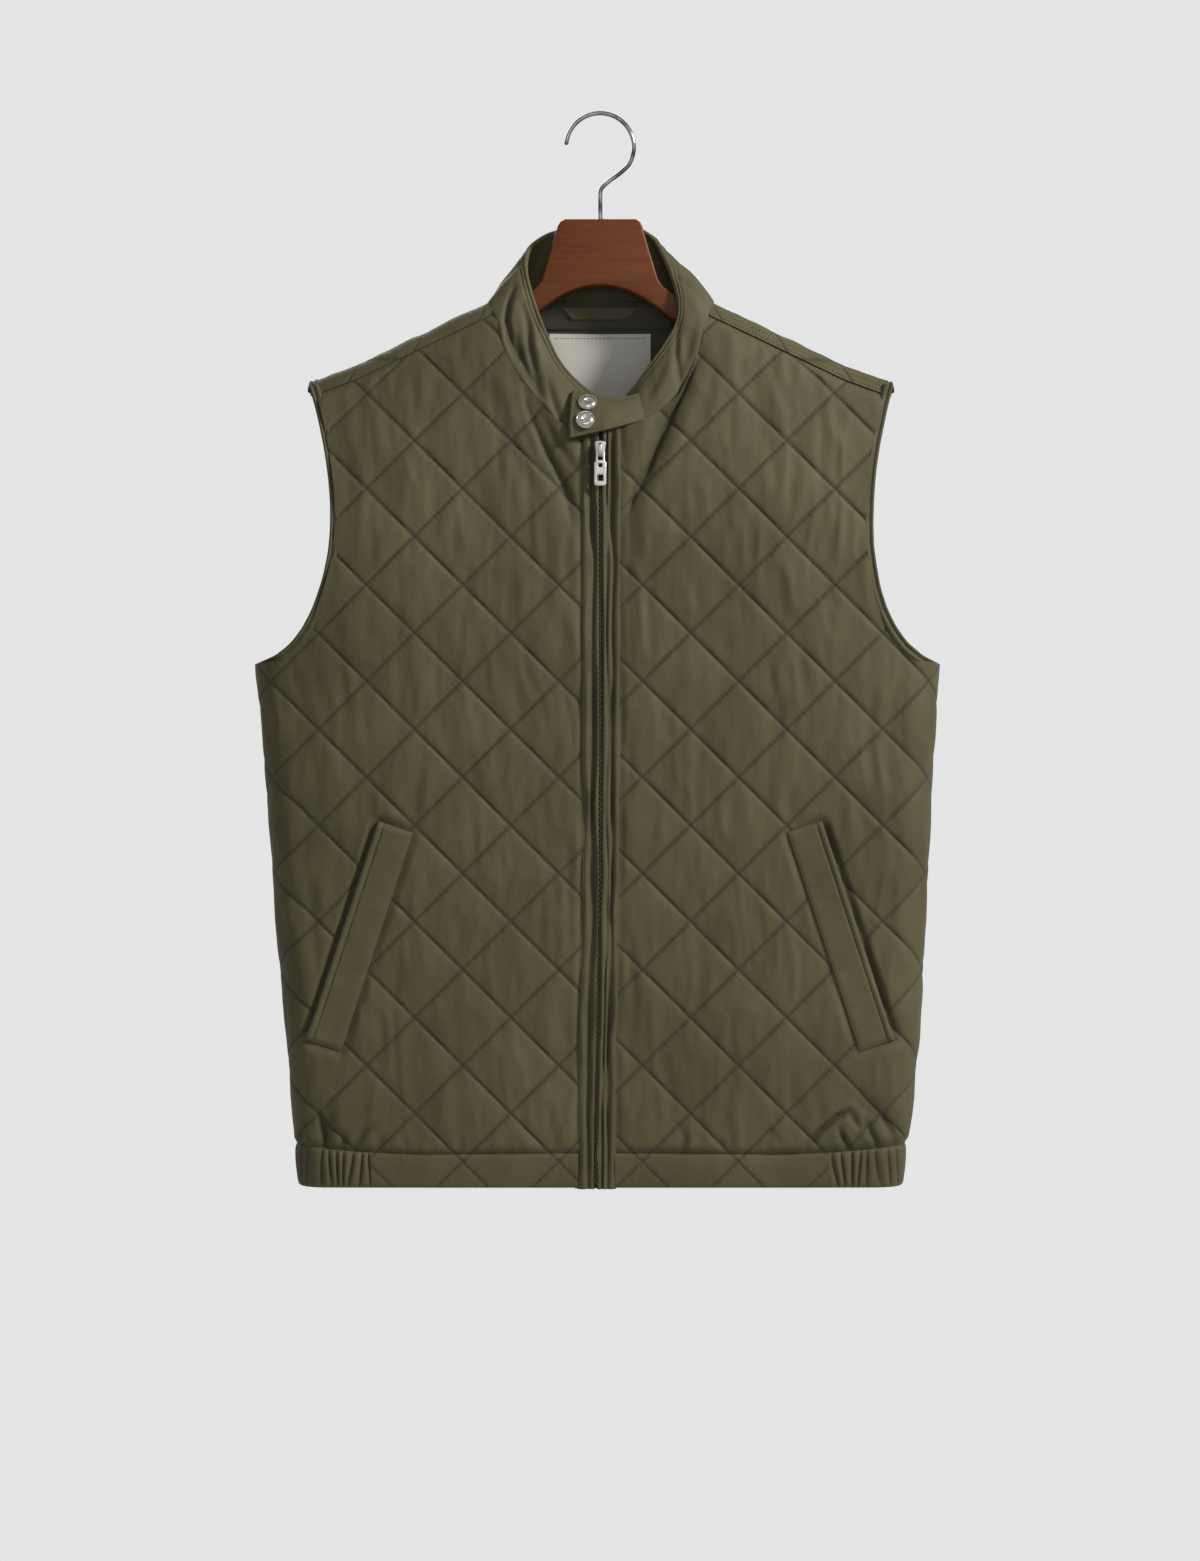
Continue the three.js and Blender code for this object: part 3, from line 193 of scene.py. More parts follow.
def lookUp(at, keys, values, spread=0.0):
    at = np.asarray(at, float)
    if not spread:
        return np.interp(at, keys, values)
    shifts = (-1, -0.6, -0.2, 0.2, 0.6, 1)
    return sum(np.interp(at + shift * spread, keys, values) for shift in shifts) / len(shifts)


def catmull(points, shares):
    # Centripetal Catmull-Rom curve through the points, read at shares of its whole length in points
    points = np.asarray(points, float)
    ends = np.vstack([2 * points[0] - points[1], points, 2 * points[-1] - points[-2]])
    place = np.clip(np.asarray(shares, float), 0, 1) * (len(points) - 1)
    k = np.minimum(place.astype(int), len(points) - 2)
    t = (place - k)[:, None]
    p0, p1, p2, p3 = ends[k], ends[k + 1], ends[k + 2], ends[k + 3]
    d0, d1, d2 = (np.maximum(np.linalg.norm(b - a, axis=1), 1e-6)[:, None] ** 0.5
                  for a, b in ((p0, p1), (p1, p2), (p2, p3)))
    m1 = d1 * ((p1 - p0) / d0 - (p2 - p0) / (d0 + d1) + (p2 - p1) / d1)
    m2 = d1 * ((p2 - p1) / d1 - (p3 - p1) / (d1 + d2) + (p3 - p2) / d2)
    return ((2 * t**3 - 3 * t**2 + 1) * p1 + (t**3 - 2 * t**2 + t) * m1
            + (3 * t**2 - 2 * t**3) * p2 + (t**3 - t**2) * m2)


def softNoise(u, v, seed):
    table = np.random.default_rng(seed).uniform(-1, 1, (64, 64))
    i, j = np.floor(u).astype(int), np.floor(v).astype(int)
    s, t = smooth(u - i), smooth(v - j)
    corner = lambda a, b: table[(i + a) % 64, (j + b) % 64]
    low = corner(0, 0) * (1 - s) + corner(1, 0) * s
    high = corner(0, 1) * (1 - s) + corner(1, 1) * s
    return low * (1 - t) + high * t


def foldDepth(x, z, folds, swell=0.3):
    # Troughs along the folds' paths, with a low swell each side
    total = np.zeros(np.broadcast(x, z).shape)
    for depth, width, path in folds:
        path = np.asarray(path, float)
        runs = np.linalg.norm(np.diff(path, axis=0), axis=1)
        nearest = np.full(total.shape, 1e9)
        along = np.zeros(total.shape)
        done = 0.0
        for start, end, run in zip(path[:-1], path[1:], runs):
            way = (end - start) / run
            share = np.clip((x - start[0]) * way[0] + (z - start[1]) * way[1], 0, run)
            away = np.hypot(x - start[0] - share * way[0], z - start[1] - share * way[1])
            closer = away < nearest
            nearest = np.where(closer, away, nearest)
            along = np.where(closer, done + share, along)
            done += run
        taper = np.sin(np.pi * (0.12 + 0.76 * along / done)) ** 1.2
        cut = np.exp(-((nearest / width) ** 2)) - swell * np.exp(-((nearest / width / 2.1) ** 2))
        total += depth / (1 - swell) * taper * cut
    return total


# The cloth's inner face

def outsideTop(x):
    return lookUp(np.abs(x), body["topOut"], body["topZ"], 6)


def insideTop(x):
    return outsideTop(x) - body["wall"] - 1


def halfWidth(onRight, z):
    width = [lookUp(z, body["heights"], body[key], body["soften"]) for key in ("right", "left")]
    return np.where(onRight, width[0], width[1]) - body["wall"] - 1.6


def flatHalf(onRight, z):
    return halfWidth(onRight, z) + (quarter - 1) * body["side"]


def hemSeam(x):
    return lookUp(np.abs(x), hem["seamOut"], hem["seamZ"], 8)


def zipDrift(z):
    share = (zipLine["driftFrom"] - z) / (zipLine["driftFrom"] - hem["bottomZ"])
    return zipLine["drift"] * ease(share) ** 2


def innerPoint(face, across, z):
    across, z = np.broadcast_arrays(np.asarray(across, float), np.asarray(z, float))
    onRight = across < 0
    width = halfWidth(onRight, z)
    radius, roll = body["side"], body["roll"]
    fromSeam = flatHalf(onRight, z) - np.abs(across)
    angle = np.minimum(quarter, fromSeam / radius)
    out = np.where(angle < quarter, width - radius * (1 - np.cos(angle)), np.abs(across))
    below = np.maximum(insideTop(out) - z, body["seamDrop"]) * body["slope"]
    depth = lookUp(z, body["heights"], body["depth"], body["soften"])
    onRoll = np.sqrt(np.maximum(roll**2 - np.maximum(roll - below, 0) ** 2, 0))
    top = np.where(below < roll, onRoll, roll + (depth - roll) * ease((below - roll) / body["reach"]))
    towardMiddle = (fromSeam - quarter * radius) / body["sideReach"]
    rise = radius * np.sin(angle) + (depth - radius) * ease(towardMiddle)
    power = body["blend"]
    high = np.maximum(rise, 0.05)
    opened = (np.maximum(top, 0.05) ** -power + high**-power) ** (-1 / power)
    opened = np.where(rise <= 0.05, rise, opened)
    x = np.where(onRight, -out, out)
    if face == front:
        clearOfZip = np.clip((np.abs(x) - 17) / 8, 0, 1)
        opened = opened - foldDepth(x, z, formFolds) * clearOfZip * np.clip(rise / radius, 0, 1)
    return np.stack([x, face * opened, z], -1)


def outwardOf(face, across, z):
    step = 0.8
    along = innerPoint(face, across + step, z) - innerPoint(face, across - step, z)
    up = innerPoint(face, across, z + step) - innerPoint(face, across, z - step)
    outward = np.cross(along, up) * -face
    return outward / np.linalg.norm(outward, axis=-1, keepdims=True)


def clothPoint(face, across, z, lift):
    across, z, lift = np.broadcast_arrays(np.asarray(across, float), z, lift)
    return innerPoint(face, across, z) + outwardOf(face, across, z) * lift[..., None]


def acrossAt(x, z):
    x, z = np.broadcast_arrays(np.asarray(x, float), np.asarray(z, float))
    onRight = x < 0
    radius = body["side"]
    width = halfWidth(onRight, z)
    angle = np.arccos(np.clip(1 - (width - np.abs(x)) / radius, -1, 1))
    rolled = np.where(onRight, -1, 1) * (flatHalf(onRight, z) - radius * angle)
    return np.where(np.abs(x) <= width - radius, x, rolled)


def shoulderPoint(x, angle, lift):
    x, angle, lift = np.broadcast_arrays(np.asarray(x, float), angle, lift)
    reach = body["roll"] + lift
    below = body["roll"] - reach * np.sin(angle)
    return np.stack([x, -reach * np.cos(angle), insideTop(x) - below / body["slope"]], -1)


shoulderSeamAngle = math.asin(1 - body["seamDrop"] * body["slope"] / body["roll"])
overShoulder = body["over"] * (math.pi - 2 * shoulderSeamAngle)  # cloth that runs over the top, seam to seam


# Back panel: above the roll's start the height runs on over the shoulder, along the cloth
def backPoint(across, z, lift):
    across, z, lift = np.broadcast_arrays(np.asarray(across, float), z, lift)
    start = insideTop(across) - body["seamDrop"]
    flat = clothPoint(back, across, np.minimum(z, start), lift)
    angle = math.pi - shoulderSeamAngle - np.maximum(z - start, 0) / body["over"]
    over = shoulderPoint(across, angle, lift + 0.7)
    share = smooth((z - start + 4) / 8)[..., None]
    return flat * (1 - share) + over * share


def quiltHeight(u, v):
    # u and v run from a crossing. Falling lines pull right in, rising lines less.
    half = quilt["pitch"] / 2 / math.sqrt(2)
    pitch = quilt["pitch"]
    fall = np.abs((u + v) / pitch - np.round((u + v) / pitch)) * pitch / math.sqrt(2)
    rise = np.abs((u - v) / pitch - np.round((u - v) / pitch)) * pitch / math.sqrt(2)
    swell = lambda away: (1 - (1 - np.clip(away / half, 0, 1)) ** 2) ** 0.5
    keep = quilt["risingShare"]
    return quilt["puff"] * swell(fall) * (1 - keep + keep * swell(rise))


# Meshes

def pieceOf(name, mesh, sharp, weld=0.0):
    # Faces turned out, smooth up to an angle, and the mesh set in the scene
    work = bmesh.new()
    work.from_mesh(mesh)
    if weld:
        bmesh.ops.remove_doubles(work, verts=work.verts, dist=weld)
    bmesh.ops.recalc_face_normals(work, faces=work.faces)
    work.to_mesh(mesh)
    work.free()
    mesh.shade_smooth()
    mesh.set_sharp_from_angle(angle=math.radians(sharp))
    piece = bpy.data.objects.new(name, mesh)
    bpy.context.scene.collection.objects.link(piece)
    return piece


def meshOf(name, points, faces, uv=None, sharp=50, finishes=(), faceFinish=None, crease=None):
    mesh = bpy.data.meshes.new(name)
    mesh.from_pydata((np.asarray(points) * mm).tolist(), [], faces)
    # crease holds painted shade: how far the cloth paint darkens each point's colour
    if crease is not None:
        depth = mesh.attributes.new("crease", "FLOAT", "POINT")
        depth.data.foreach_set("value", np.clip(crease, 0, 1).astype(np.float32).ravel())
    if uv is not None:
        layer = mesh.uv_layers.new(name="cloth")
        corner = np.zeros(len(mesh.loops), dtype=np.int32)
        mesh.loops.foreach_get("vertex_index", corner)
        layer.uv.foreach_set("vector", (np.asarray(uv, float) * mm)[corner].astype(np.float32).ravel())
    for finish in finishes:
        mesh.materials.append(finish)
    if faceFinish is not None:
        mesh.polygons.foreach_set("material_index", np.asarray(faceFinish, dtype=np.int32))
    return pieceOf(name, mesh, sharp)


def settle(piece, nodes=(), rides=vestBody):
    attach(piece, rides)
    if nodes:
        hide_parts(*nodes)


def tubeFaces(sections, around, ringAlong=False):
    faces = []
    last = sections if ringAlong else sections - 1
    for i in range(last):
        a, b = i * around, ((i + 1) % sections) * around
        for k in range(around):
            n = (k + 1) % around
            faces.append((a + k, a + n, b + n, b + k))
    if not ringAlong:
        faces.append(tuple(range(around)))
        faces.append(tuple(range((sections - 1) * around, sections * around)))
    return faces


def copiesOf(faces, count, size):
    # The same faces for each of count shapes of size points
    return [tuple(n * size + corner for corner in face) for n in range(count) for face in faces]


def tube(name, sections, ringAlong=False, uv=None, **more):
    # sections[i, k] is point k of the closed outline of section i
    count, around = sections.shape[:2]
    flatUv = None if uv is None else np.asarray(uv, float).reshape(-1, 2)
    return meshOf(name, sections.reshape(-1, 3), tubeFaces(count, around, ringAlong), uv=flatUv, **more)


def runUv(sections):
    # Cloth coordinates of a tube: along its sections and round each
    along = np.linalg.norm(np.diff(sections[:, 0], axis=0), axis=1)
    around = np.linalg.norm(np.diff(sections[0], axis=0), axis=1)
    u = np.concatenate([[0], np.cumsum(along)])
    v = np.concatenate([[0], np.cumsum(around)])
    return np.stack(np.meshgrid(u, v, indexing="ij"), -1)


def joined(name, pieces):
    for piece in bpy.context.scene.objects:
        piece.select_set(False)
    for piece in pieces:
        piece.select_set(True)
    bpy.context.view_layer.objects.active = pieces[0]
    bpy.ops.object.join()
    pieces[0].name = name
    return pieces[0]


# Materials

class Wire:
    # One output of a node. Sums and products of wires add Math nodes.
    def __init__(self, paint, socket):
        self.paint, self.socket = paint, socket

    def __add__(self, other):
        return self.paint.math("ADD", self, other)

    def __sub__(self, other):
        return self.paint.math("SUBTRACT", self, other)

    def __rsub__(self, other):
        return self.paint.math("SUBTRACT", other, self)

    def __mul__(self, other):
        return self.paint.math("MULTIPLY", self, other)

    def __truediv__(self, other):
        return self.paint.math("DIVIDE", self, other)


class Paint:
    def __init__(self, name, **shader):
        self.material = bpy.data.materials.new(name)
        self.material.use_nodes = True
        self.tree = self.material.node_tree
        self.shader = self.tree.nodes["Principled BSDF"]
        for key, value in shader.items():
            self.shader.inputs[key.replace("_", " ")].default_value = value

    def node(self, kind, settings=None, inputs=None, out=0):
        made = self.tree.nodes.new(kind)
        for key, value in (settings or {}).items():
            setattr(made, key, value)
        for key, value in (inputs or {}).items():
            if isinstance(value, Wire):
                self.tree.links.new(value.socket, made.inputs[key])
            else:
                made.inputs[key].default_value = value
        return Wire(self, made.outputs[out])

    def math(self, operation, *values):
        return self.node("ShaderNodeMath", {"operation": operation}, dict(enumerate(values)))

    def mix(self, share, first, second):
        return self.node("ShaderNodeMix", {"data_type": "RGBA"}, {0: share, 6: first, 7: second}, 2)

    def places(self, cloth=False):
        if cloth:
            return self.node("ShaderNodeUVMap", {"uv_map": "cloth"})
        return self.node("ShaderNodeTexCoord", out=3)

    def stretched(self, vector, scale):
        return self.node("ShaderNodeMapping", None, {"Vector": vector, "Scale": scale})

    def noise(self, vector, scale, detail=3.0, rough=0.5):
        return self.node("ShaderNodeTexNoise", None,
                         {"Vector": vector, "Scale": scale, "Detail": detail, "Roughness": rough})

    def parts(self, vector):
        split = self.node("ShaderNodeSeparateXYZ", None, {"Vector": vector})
        outputs = split.socket.node.outputs
        return Wire(self, outputs[0]), Wire(self, outputs[1]), Wire(self, outputs[2])

    def between(self, value, low, high):
        return self.node("ShaderNodeMapRange", {"interpolation_type": "SMOOTHSTEP"},
                         {"Value": value, "From Min": low, "From Max": high})

    def feed(self, key, wire):
        self.tree.links.new(wire.socket, self.shader.inputs[key])

    def bump(self, height, distance, strength):
        self.feed("Normal", self.node("ShaderNodeBump", None,
                                      {"Strength": strength, "Distance": distance, "Height": height}))


def colour(red, green, blue):
    return (red, green, blue, 1.0)


clothLook = {
    "olive": colour(0.104, 0.09, 0.04),
    "oliveDark": colour(0.072, 0.061, 0.026),
    # seam: the dark colour that painted shade darkens the cloth toward, on and beside quilting lines and in
    # folds
    "seam": colour(0.03, 0.026, 0.014),
    "thread": colour(0.085, 0.075, 0.042),
    "weave": 0.00062,  # between threads
    "dash": 0.0034,
    "lineWidth": 0.0011,
    "hollow": 0.003,  # how far the painted shade in the dip beside a quilting line reaches
    "pucker": 0.011,
    "shade": 0.62,  # painted shade: how far the colour is darkened in the depth of a fold or along an edge
    "relief": 0.0009,
}


def clothPaint(name, light, dark, quilted=False, rough=0.62, sheen=0.1):
    paint = Paint(name, Roughness=rough, Sheen_Weight=sheen, Sheen_Roughness=0.45, Specular_IOR_Level=0.28)
    cloth = paint.places(cloth=True)
    space = paint.places()
    u, v, _ = paint.parts(cloth)
    broad = paint.noise(space, 11.0, 2.0)
    streaks = paint.noise(paint.stretched(cloth, (95.0, 26.0, 1.0)), 1.0, 4.0, 0.6)
    grain = paint.noise(space, 1500.0, 2.0)
    turn = 2 * math.pi / clothLook["weave"]
    warp = paint.math("SINE", u * turn)
    weft = paint.math("SINE", v * turn)
    weave = warp * weft
    tone = broad * 0.5 + streaks * 0.3 + grain * 0.2
    base = paint.mix(paint.between(tone, 0.3, 0.72), dark, light)
    height = streaks * 1.3 + grain * 0.12 + weave * 0.05
    roughness = paint.between(streaks * 0.6 + grain * 0.4, 0.1, 0.9) * 0.16 + (rough - 0.08)
    if quilted:
        pitch = quilt["pitch"] * mm
        # Quilting lines both ways. The second number sets how dark the painted shade on and beside each line
        # is; the thread dashes on a line are the thread's own colour.
        for sign, strength in ((1, 0.8), (-1, 0.74)):
            place = (u + v * sign) / pitch
            away = paint.math("PINGPONG", place, 0.5) * (pitch / math.sqrt(2))
            along = (u - v * sign) * (1 / math.sqrt(2) / clothLook["dash"])
            dash = paint.between(paint.math("PINGPONG", along, 0.5), 0.1, 0.16)
            hollow = 1 - paint.between(away, 0.0, clothLook["hollow"])
            line = 1 - paint.between(away, clothLook["lineWidth"] * 0.4, clothLook["lineWidth"])
            # Painted shade: the dip beside the line and the line itself are darkened toward the seam colour
            base = paint.mix(hollow * (0.5 * strength), base, clothLook["seam"])
            base = paint.mix(line * (0.8 * strength), base, clothLook["seam"])
            base = paint.mix(line * dash * 0.28, base, clothLook["thread"])
            spread = paint.node("ShaderNodeCombineXYZ", None, {0: along * 1.1, 1: away * 60.0, 2: u * 8.0})
            pucker = paint.noise(spread, 1.0, 2.0) * (1 - paint.between(away, 0.001, clothLook["pucker"]))
            height = height - line * 0.5 - hollow * 0.5 + line * dash * 0.3 + pucker * 1.1
    # Painted shade: the crease attribute darkens the colour toward the seam colour where folds and edges keep
    # the light out
    paintedFoldShade = paint.node("ShaderNodeAttribute", {"attribute_name": "crease"}, out=2)
    paint.feed("Base Color", paint.mix(paintedFoldShade * clothLook["shade"], base, clothLook["seam"]))
    paint.feed("Roughness", roughness)
    paint.bump(height, clothLook["relief"], 0.55)
    return paint.material


def woodPaint(light, dark):
    paint = Paint("stainedWood", Roughness=0.42, Specular_IOR_Level=0.2)
    space = paint.places()
    grain = paint.noise(paint.stretched(space, (9.0, 60.0, 150.0)), 1.0, 6.0, 0.62)
    pores = paint.noise(paint.stretched(space, (60.0, 700.0, 900.0)), 1.0, 3.0, 0.6)
    rings = paint.math("SINE", paint.noise(paint.stretched(space, (4.0, 14.0, 40.0)), 1.0, 2.0) * 46.0)
    tone = grain * 0.6 + pores * 0.25 + rings * 0.03 + 0.07
    paint.feed("Base Color", paint.mix(paint.between(tone, 0.25, 0.75), dark, light))
    paint.feed("Roughness", paint.between(pores, 0.3, 0.7) * 0.16 + 0.3)
    paint.bump(pores * 0.7 + grain * 0.3, 0.0003, 0.4)
    return paint.material


def metalPaint(name, tint, rough, brushed=0.0, darkestWearAndReflection=0.82):
    paint = Paint(name, Metallic=1.0, Roughness=rough)
    space = paint.places()
    marks = paint.noise(paint.stretched(space, (900.0, 900.0, 90.0)), 1.0, 3.0)
    wearAndDarkReflection = paint.noise(space, 60.0, 3.0)
    # Patches where the colour drops toward a darker tint: wear on the zip metal and caps, painted dark
    # reflections on the hook's wire
    wornAndReflectedTint = tuple(part * darkestWearAndReflection for part in tint[:3]) + (1.0,)
    paint.feed("Base Color", paint.mix(paint.between(wearAndDarkReflection, 0.35, 0.7), tint, wornAndReflectedTint))
    paint.feed("Roughness", marks * (0.06 + brushed) + wearAndDarkReflection * 0.08 + (rough - 0.06))
    paint.bump(marks, 0.0001, 0.12 + brushed)
    return paint.material


def labelPaint():
    paint = Paint("wovenLabel", Roughness=0.6, Sheen_Weight=0.3)
    cloth = paint.places(cloth=True)
    _, v, _ = paint.parts(cloth)
    rib = paint.math("SINE", v * (2 * math.pi / 0.0008)) * 0.5 + 0.5
    grain = paint.noise(paint.stretched(cloth, (300.0, 1400.0, 1.0)), 1.0, 3.0)
    tone = grain * 0.7 + rib * 0.3
    paint.feed("Base Color", paint.mix(tone, colour(0.5, 0.485, 0.42), colour(0.66, 0.645, 0.575)))
    paint.feed("Roughness", grain * 0.2 + 0.5)
    paint.bump(tone, 0.0003, 0.35)
    return paint.material


shellQuilt = clothPaint("quiltedShell", clothLook["olive"], clothLook["oliveDark"], quilted=True)
shellPlain = clothPaint("plainShell", colour(0.108, 0.094, 0.043), colour(0.078, 0.067, 0.03))
trimCloth = clothPaint("trimCloth", colour(0.09, 0.078, 0.036), colour(0.064, 0.056, 0.025), rough=0.58)
liningCloth = clothPaint("liningCloth", colour(0.05, 0.046, 0.027), colour(0.036, 0.033, 0.019), rough=0.5)
# Near-black cloth on the welt's opening edge: painted shade of the pocket opening
openingShade = clothPaint("pocketOpeningShade", colour(0.022, 0.019, 0.01), colour(0.014, 0.012, 0.006),
                          rough=0.7)
tapeCloth = clothPaint("zipTape", colour(0.035, 0.032, 0.02), colour(0.025, 0.022, 0.014), rough=0.75)
threadCloth = clothPaint("threads", colour(0.12, 0.107, 0.062), colour(0.085, 0.075, 0.042), rough=0.5)
hangerWood = woodPaint(colour(0.142, 0.039, 0.009), colour(0.088, 0.024, 0.006))
# The wire's colour drops to 0.12 of its tint in patches: painted dark reflections
chromeWire = metalPaint("chromedWire", colour(0.5, 0.5, 0.51), 0.12, darkestWearAndReflection=0.12)
zipMetal = metalPaint("satinZipMetal", colour(0.68, 0.66, 0.62), 0.3, 0.1)
capMetal = metalPaint("polishedCaps", colour(0.78, 0.75, 0.7), 0.16)
toothMetal = metalPaint("zipTeeth", colour(0.16, 0.145, 0.11), 0.42)
beigeWeave = labelPaint()
print("materials done")


# Sewing. Each stitch is a short spindle that lies on the cloth.
stitch = {"pitch": 3.0, "length": 2.2, "radius": 0.3, "sides": 5}
seams = []


def sewAlong(points, normals, sink=0.05):
    points, normals = np.asarray(points, float), np.asarray(normals, float)
    runs = np.linalg.norm(np.diff(points, axis=0), axis=1)
    place = np.concatenate([[0], np.cumsum(runs)])
    count = int(place[-1] / stitch["pitch"])
    if count < 1:
        return
    middle = (np.arange(count) + 0.5) * place[-1] / count
    read = lambda at, values: np.stack([np.interp(at, place, values[:, k]) for k in range(3)], -1)
    centre = read(middle, points)
    way = read(middle + 0.5, points) - read(middle - 0.5, points)
    way /= np.maximum(np.linalg.norm(way, axis=1, keepdims=True), 1e-9)
    up = read(middle, normals)
    up /= np.linalg.norm(up, axis=1, keepdims=True)
    aside = np.cross(way, up)
    seams.append((centre - up * sink, way, up, aside))


def makeThreads():
    centre, way, up, aside = (np.concatenate([row[k] for row in seams]) for k in range(4))
    sides = stitch["sides"]
    rings = ((-0.5, 0.45, -0.25), (-0.2, 1.0, 0.1), (0.2, 1.0, 0.1), (0.5, 0.45, -0.25))
    points = []
    for along, fat, high in rings:
        for k in range(sides):
            turn = 2 * math.pi * k / sides
            points.append(centre + way * (along * stitch["length"])
                          + aside * (math.cos(turn) * fat * stitch["radius"])
                          + up * ((math.sin(turn) * fat + high) * stitch["radius"]))
    points = np.stack(points, 1)
    faces = copiesOf(tubeFaces(len(rings), sides), len(centre), len(rings) * sides)
    piece = meshOf("topstitching", points.reshape(-1, 3), faces, finishes=[threadCloth])
    print("stitches", len(centre))
    settle(piece)


# Armhole edge seen from the front, outside its binding
armhole = {
    "z": [-431, -425.5, -412, -396, -375, -355, -335, -305, -272, -240, -210],
    "right": [271, 252, 237, 226.2, 217.5, 212, 208.8, 208.3, 212, 218.5, 227],
    "left": [267, 250.3, 236.2, 225.6, 217.5, 213.5, 211.1, 211.4, 214.6, 221, 228.5],
    "binding": 6.5,
    "tuck": 4.2,  # where the panel's edge lies under the binding
}


def sideKey(side):
    return "right" if side == right else "left"


def armholeLine(side, movedIn, samples=90):
    # From the pit up to the shoulder, in places across the cloth
    rows = list(zip(armhole["z"], armhole[sideKey(side)]))[1:]
    edge = np.array([(float(acrossAt(side * out, z)), z) for z, out in rows])
    line = catmull(edge, np.linspace(0, 1, samples))
    way = np.gradient(line, axis=0)
    way /= np.linalg.norm(way, axis=1, keepdims=True)
    inward = np.stack([-side * way[:, 1], side * way[:, 0]], -1)
    return line + inward * movedIn


def collarSeamFront(side):
    line = np.array([(x, z) for (x, y, z), _, _ in collarTable if x * side > 0 and y is None])
    return line if side == left else line[::-1]


# The collar from its right end to its left: seam, rim, and how far it bows out between them.
# A seam without a depth lies on the front panels.
collarTable = [
    ((-2, None, -257), (8, -12, -225), 1),
    ((-26.5, None, -256), (-6, -13, -219), 1),
    ((-39, None, -238), (-21, -14, -207.5), 3),
    ((-51, None, -224), (-33, -15, -192), 0),
    ((-62.4, None, -211.4), (-42.1, -16, -171.6), 4),
    ((-72, None, -194), (-48, -15, -156), -1),
    ((-78.5, None, -176), (-52.5, -13, -141), 3),
    ((-81.5, -13.2, -158), (-55.5, -10, -128), 0),
    ((-84.5, -7.5, -149), (-56, -6, -119), 1),
    ((-83.5, 3, -145.5), (-55, 0, -110), 1),
    ((-76, 12.5, -144.5), (-51, 7, -101), 2),
    ((-54, 17.3, -145), (-40, 15, -90), 2),
    ((-28, 19.3, -145.5), (-22, 19, -85.5), 2),
    ((0, 20.8, -146), (0, 20, -84), 2),
    ((28, 19.3, -145.5), (20, 19, -84.5), 2),
    ((54, 17.3, -144.5), (35, 16, -88), 4),
    ((76, 12.5, -143.5), (44, 11, -102), 6),
    ((84, 3, -144.5), (49, 3, -114), 5),
    ((86, -7.5, -149), (54, -6, -127), 4),
    ((84.5, -13.4, -161), (58, -12, -140), 3),
    ((80.5, None, -180), (60, -16, -152), 2),
    ((70.5, None, -203), (58.5, -18, -166), -1),
    ((60.1, None, -221.5), (51, -17, -180), 2),
    ((47.6, None, -234.8), (42, -16, -194), 1),
    ((33.2, None, -244.1), (31.5, -14, -210), 1),
    ((16, None, -249), (20.5, -12, -226), 1),
]


# Quilted panels: a grid on the lattice, cut to its outline, with the lining inside

def insideOutline(u, v, outline):
    inside = np.zeros(u.shape, bool)
    x1, y1 = outline[-1]
    for x2, y2 in outline:
        crosses = (y1 > v) != (y2 > v)
        if y1 != y2:
            inside ^= crosses & (u < (x2 - x1) * (v - y1) / (y2 - y1) + x1)
        x1, y1 = x2, y2
    return inside


def nearestOn(points, outline):
    ends = np.roll(outline, -1, axis=0)
    way = ends - outline
    size = np.maximum((way**2).sum(1), 1e-9)
    offset = points[:, None] - outline[None]
    share = np.clip((offset * way).sum(2) / size, 0, 1)
    spots = outline[None] + way[None] * share[..., None]
    gap = np.linalg.norm(points[:, None] - spots, axis=2)
    best = gap.argmin(1)
    pick = np.arange(len(points))
    return spots[pick, best], gap[pick, best]


